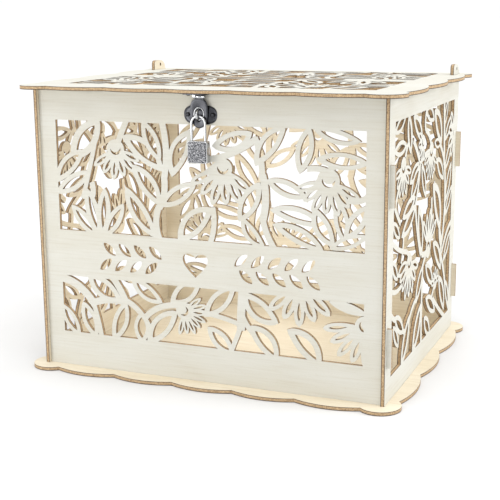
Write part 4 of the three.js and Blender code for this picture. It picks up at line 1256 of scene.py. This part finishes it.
def padlockShackle():
    x, y, radius, archZ = lock["x"], lock["y"], shackle["radius"], shackle["archZ"]
    sliver = 0.02  # mm over which a cut begins
    grooveLow, grooveHigh, grooveIn = shackle["groove"]
    notchLow, notchHigh, notchIn = shackle["notch"]
    longX, shortX = x - radius, x + radius
    legStops = (shackle["longEnd"], grooveLow - sliver, grooveLow, grooveHigh, grooveHigh + sliver)
    path = [(longX, y, z) for z in legStops]
    for i in range(shackle["archSteps"] + 1):
        angle = math.pi * i / shackle["archSteps"]
        path.append((x - radius * math.cos(angle), y, archZ + radius * math.sin(angle)))
    path += [(shortX, y, z) for z in (notchHigh + sliver, notchHigh, notchLow, notchLow - sliver,
                                      shackle["shortEnd"])]
    piece = bentWire("padlockShackle", path, shackle["r"], chrome, shackle["sides"])
    for vertex in piece.data.vertices:  # file the flats of the groove and the notch
        vx, _, vz = vertex.co / mm
        inGroove = grooveLow - sliver / 2 < vz < grooveHigh + sliver / 2
        inNotch = notchLow - sliver / 2 < vz < notchHigh + sliver / 2
        if inGroove and vx < longX - grooveIn:
            vertex.co.x = (longX - grooveIn) * mm
        if inNotch and shortX - 1.5 * shackle["r"] < vx < shortX - notchIn:
            vertex.co.x = (shortX - notchIn) * mm
    tidyMesh(piece.data, 40)
    finishPiece(piece, "shackle", "chrome_wire", "padlock_shackle")


def padlockPlug():
    half, low, high, deep = plug["keyway"]
    x, y, r, chamfer = lock["x"], lock["y"], plug["r"], plug["chamfer"]
    start = lock["bottom"] + 0.1
    length = plug["top"] - start
    profile = [(r - chamfer, 0), (r, chamfer), (r, length - 0.2), (r - 0.2, length)]
    shell = turnedShell(profile, (x, y, start), (0, 0, 1), plug["sides"])
    piece = metalPiece("padlockPlug", [shell], [brass])
    cutAway(piece, blockShell(x - half, x + half, y + low, y + high, start - 1, start + deep))
    finishPiece(piece, "key_plug", "plug_brass", "padlock_plug")


haspPlate()
haspFlap()
haspLeaf()
haspStaple()
plateScrewPlaces = [(haspX + side * screwHoles["plate"], screwHoles["plateY"], screwHoles["plateZ"])
                    for side in (-1, 1)]
screws("plateScrews", plateScrewPlaces, (0, 1, 0), "box", "plate_screw_left", "plate_screw_right")
leafScrewPlaces = [(haspX + side * screwHoles["leaf"], screwHoles["leafY"], screwHoles["leafZ"])
                   for side in (-1, 1)]
screws("leafScrews", leafScrewPlaces, (0, 0, 1), "lid", "leaf_screw_left", "leaf_screw_right")
print("hasp made")

padlockBody()
padlockFace()
padlockShackle()
padlockPlug()
for nodeName, metal in (("hasp_pin", chrome), ("padlock_bolt", nickel), ("padlock_stop_pin", nickel)):
    nodes[nodeName].material_slots[0].material = metal
print("padlock made")


stage = {
    "reach": 30, "drop": 0.0002,  # metres
    "floor": "CCCCCC", "roughness": 0.9, "world": "FFFFFF", "worldStrength": 1.02,
}
softBoxes = {
    # name: place in mm, size in mm, power in watts, colour
    "key": ((-650, -950, 190), 500, 4.4, "FFFDF8"),
    "side": ((1700, 250, 700), 900, 17, "FFFFFF"),
}
topLight = {"strength": 2.2, "softness": 70, "tilt": (14, 8, 0), "colour": "FFFFFF"}  # angles in degrees
insideLamp = {"place": (0, 0, 120), "radius": 60, "power": 0.42, "colour": "F6F9FF"}  # hidden in the box


def makeStage():
    reach = stage["reach"]  # so far that the floor's edge is out of sight
    corners = [(-reach, -reach, 0), (reach, -reach, 0), (reach, reach, 0), (-reach, reach, 0)]
    mesh = bpy.data.meshes.new("floor")
    mesh.from_pydata(corners, [], [(0, 1, 2, 3)])
    floor = addObject("floor", mesh)
    floor.location.z = -stage["drop"]
    material, _, shader = newMaterial("paleFloor")
    shader.inputs["Base Color"].default_value = srgb(stage["floor"])
    shader.inputs["Roughness"].default_value = stage["roughness"]
    mesh.materials.append(material)


def addLight(name, kind, power, colour):
    data = bpy.data.lights.new(name, kind)
    data.energy = power
    data.color = srgb(colour)[:3]
    return addObject(name, data)


def makeLights():
    target = Vector(insideLamp["place"]) * mm
    for name, (place, size, power, colour) in softBoxes.items():
        light = addLight(name, "AREA", power, colour)
        light.data.size = size * mm
        light.location = Vector(place) * mm
        light.rotation_euler = (target - light.location).to_track_quat("-Z", "Y").to_euler()
    light = addLight("top", "SUN", topLight["strength"], topLight["colour"])
    light.data.angle = math.radians(topLight["softness"])
    light.rotation_euler = [math.radians(a) for a in topLight["tilt"]]
    lamp = addLight("insideLamp", "POINT", insideLamp["power"], insideLamp["colour"])
    lamp.data.shadow_soft_size = insideLamp["radius"] * mm
    lamp.location = target
    lamp.visible_camera = False
    lamp.visible_glossy = False
    world = bpy.data.worlds.new("studio")
    bpy.context.scene.world = world
    world.use_nodes = True
    background = world.node_tree.nodes["Background"]
    background.inputs["Color"].default_value = srgb(stage["world"])
    background.inputs["Strength"].default_value = stage["worldStrength"]


makeStage()
makeLights()
bpy.context.scene.view_settings.view_transform = "Standard"
print("stage and lights set")
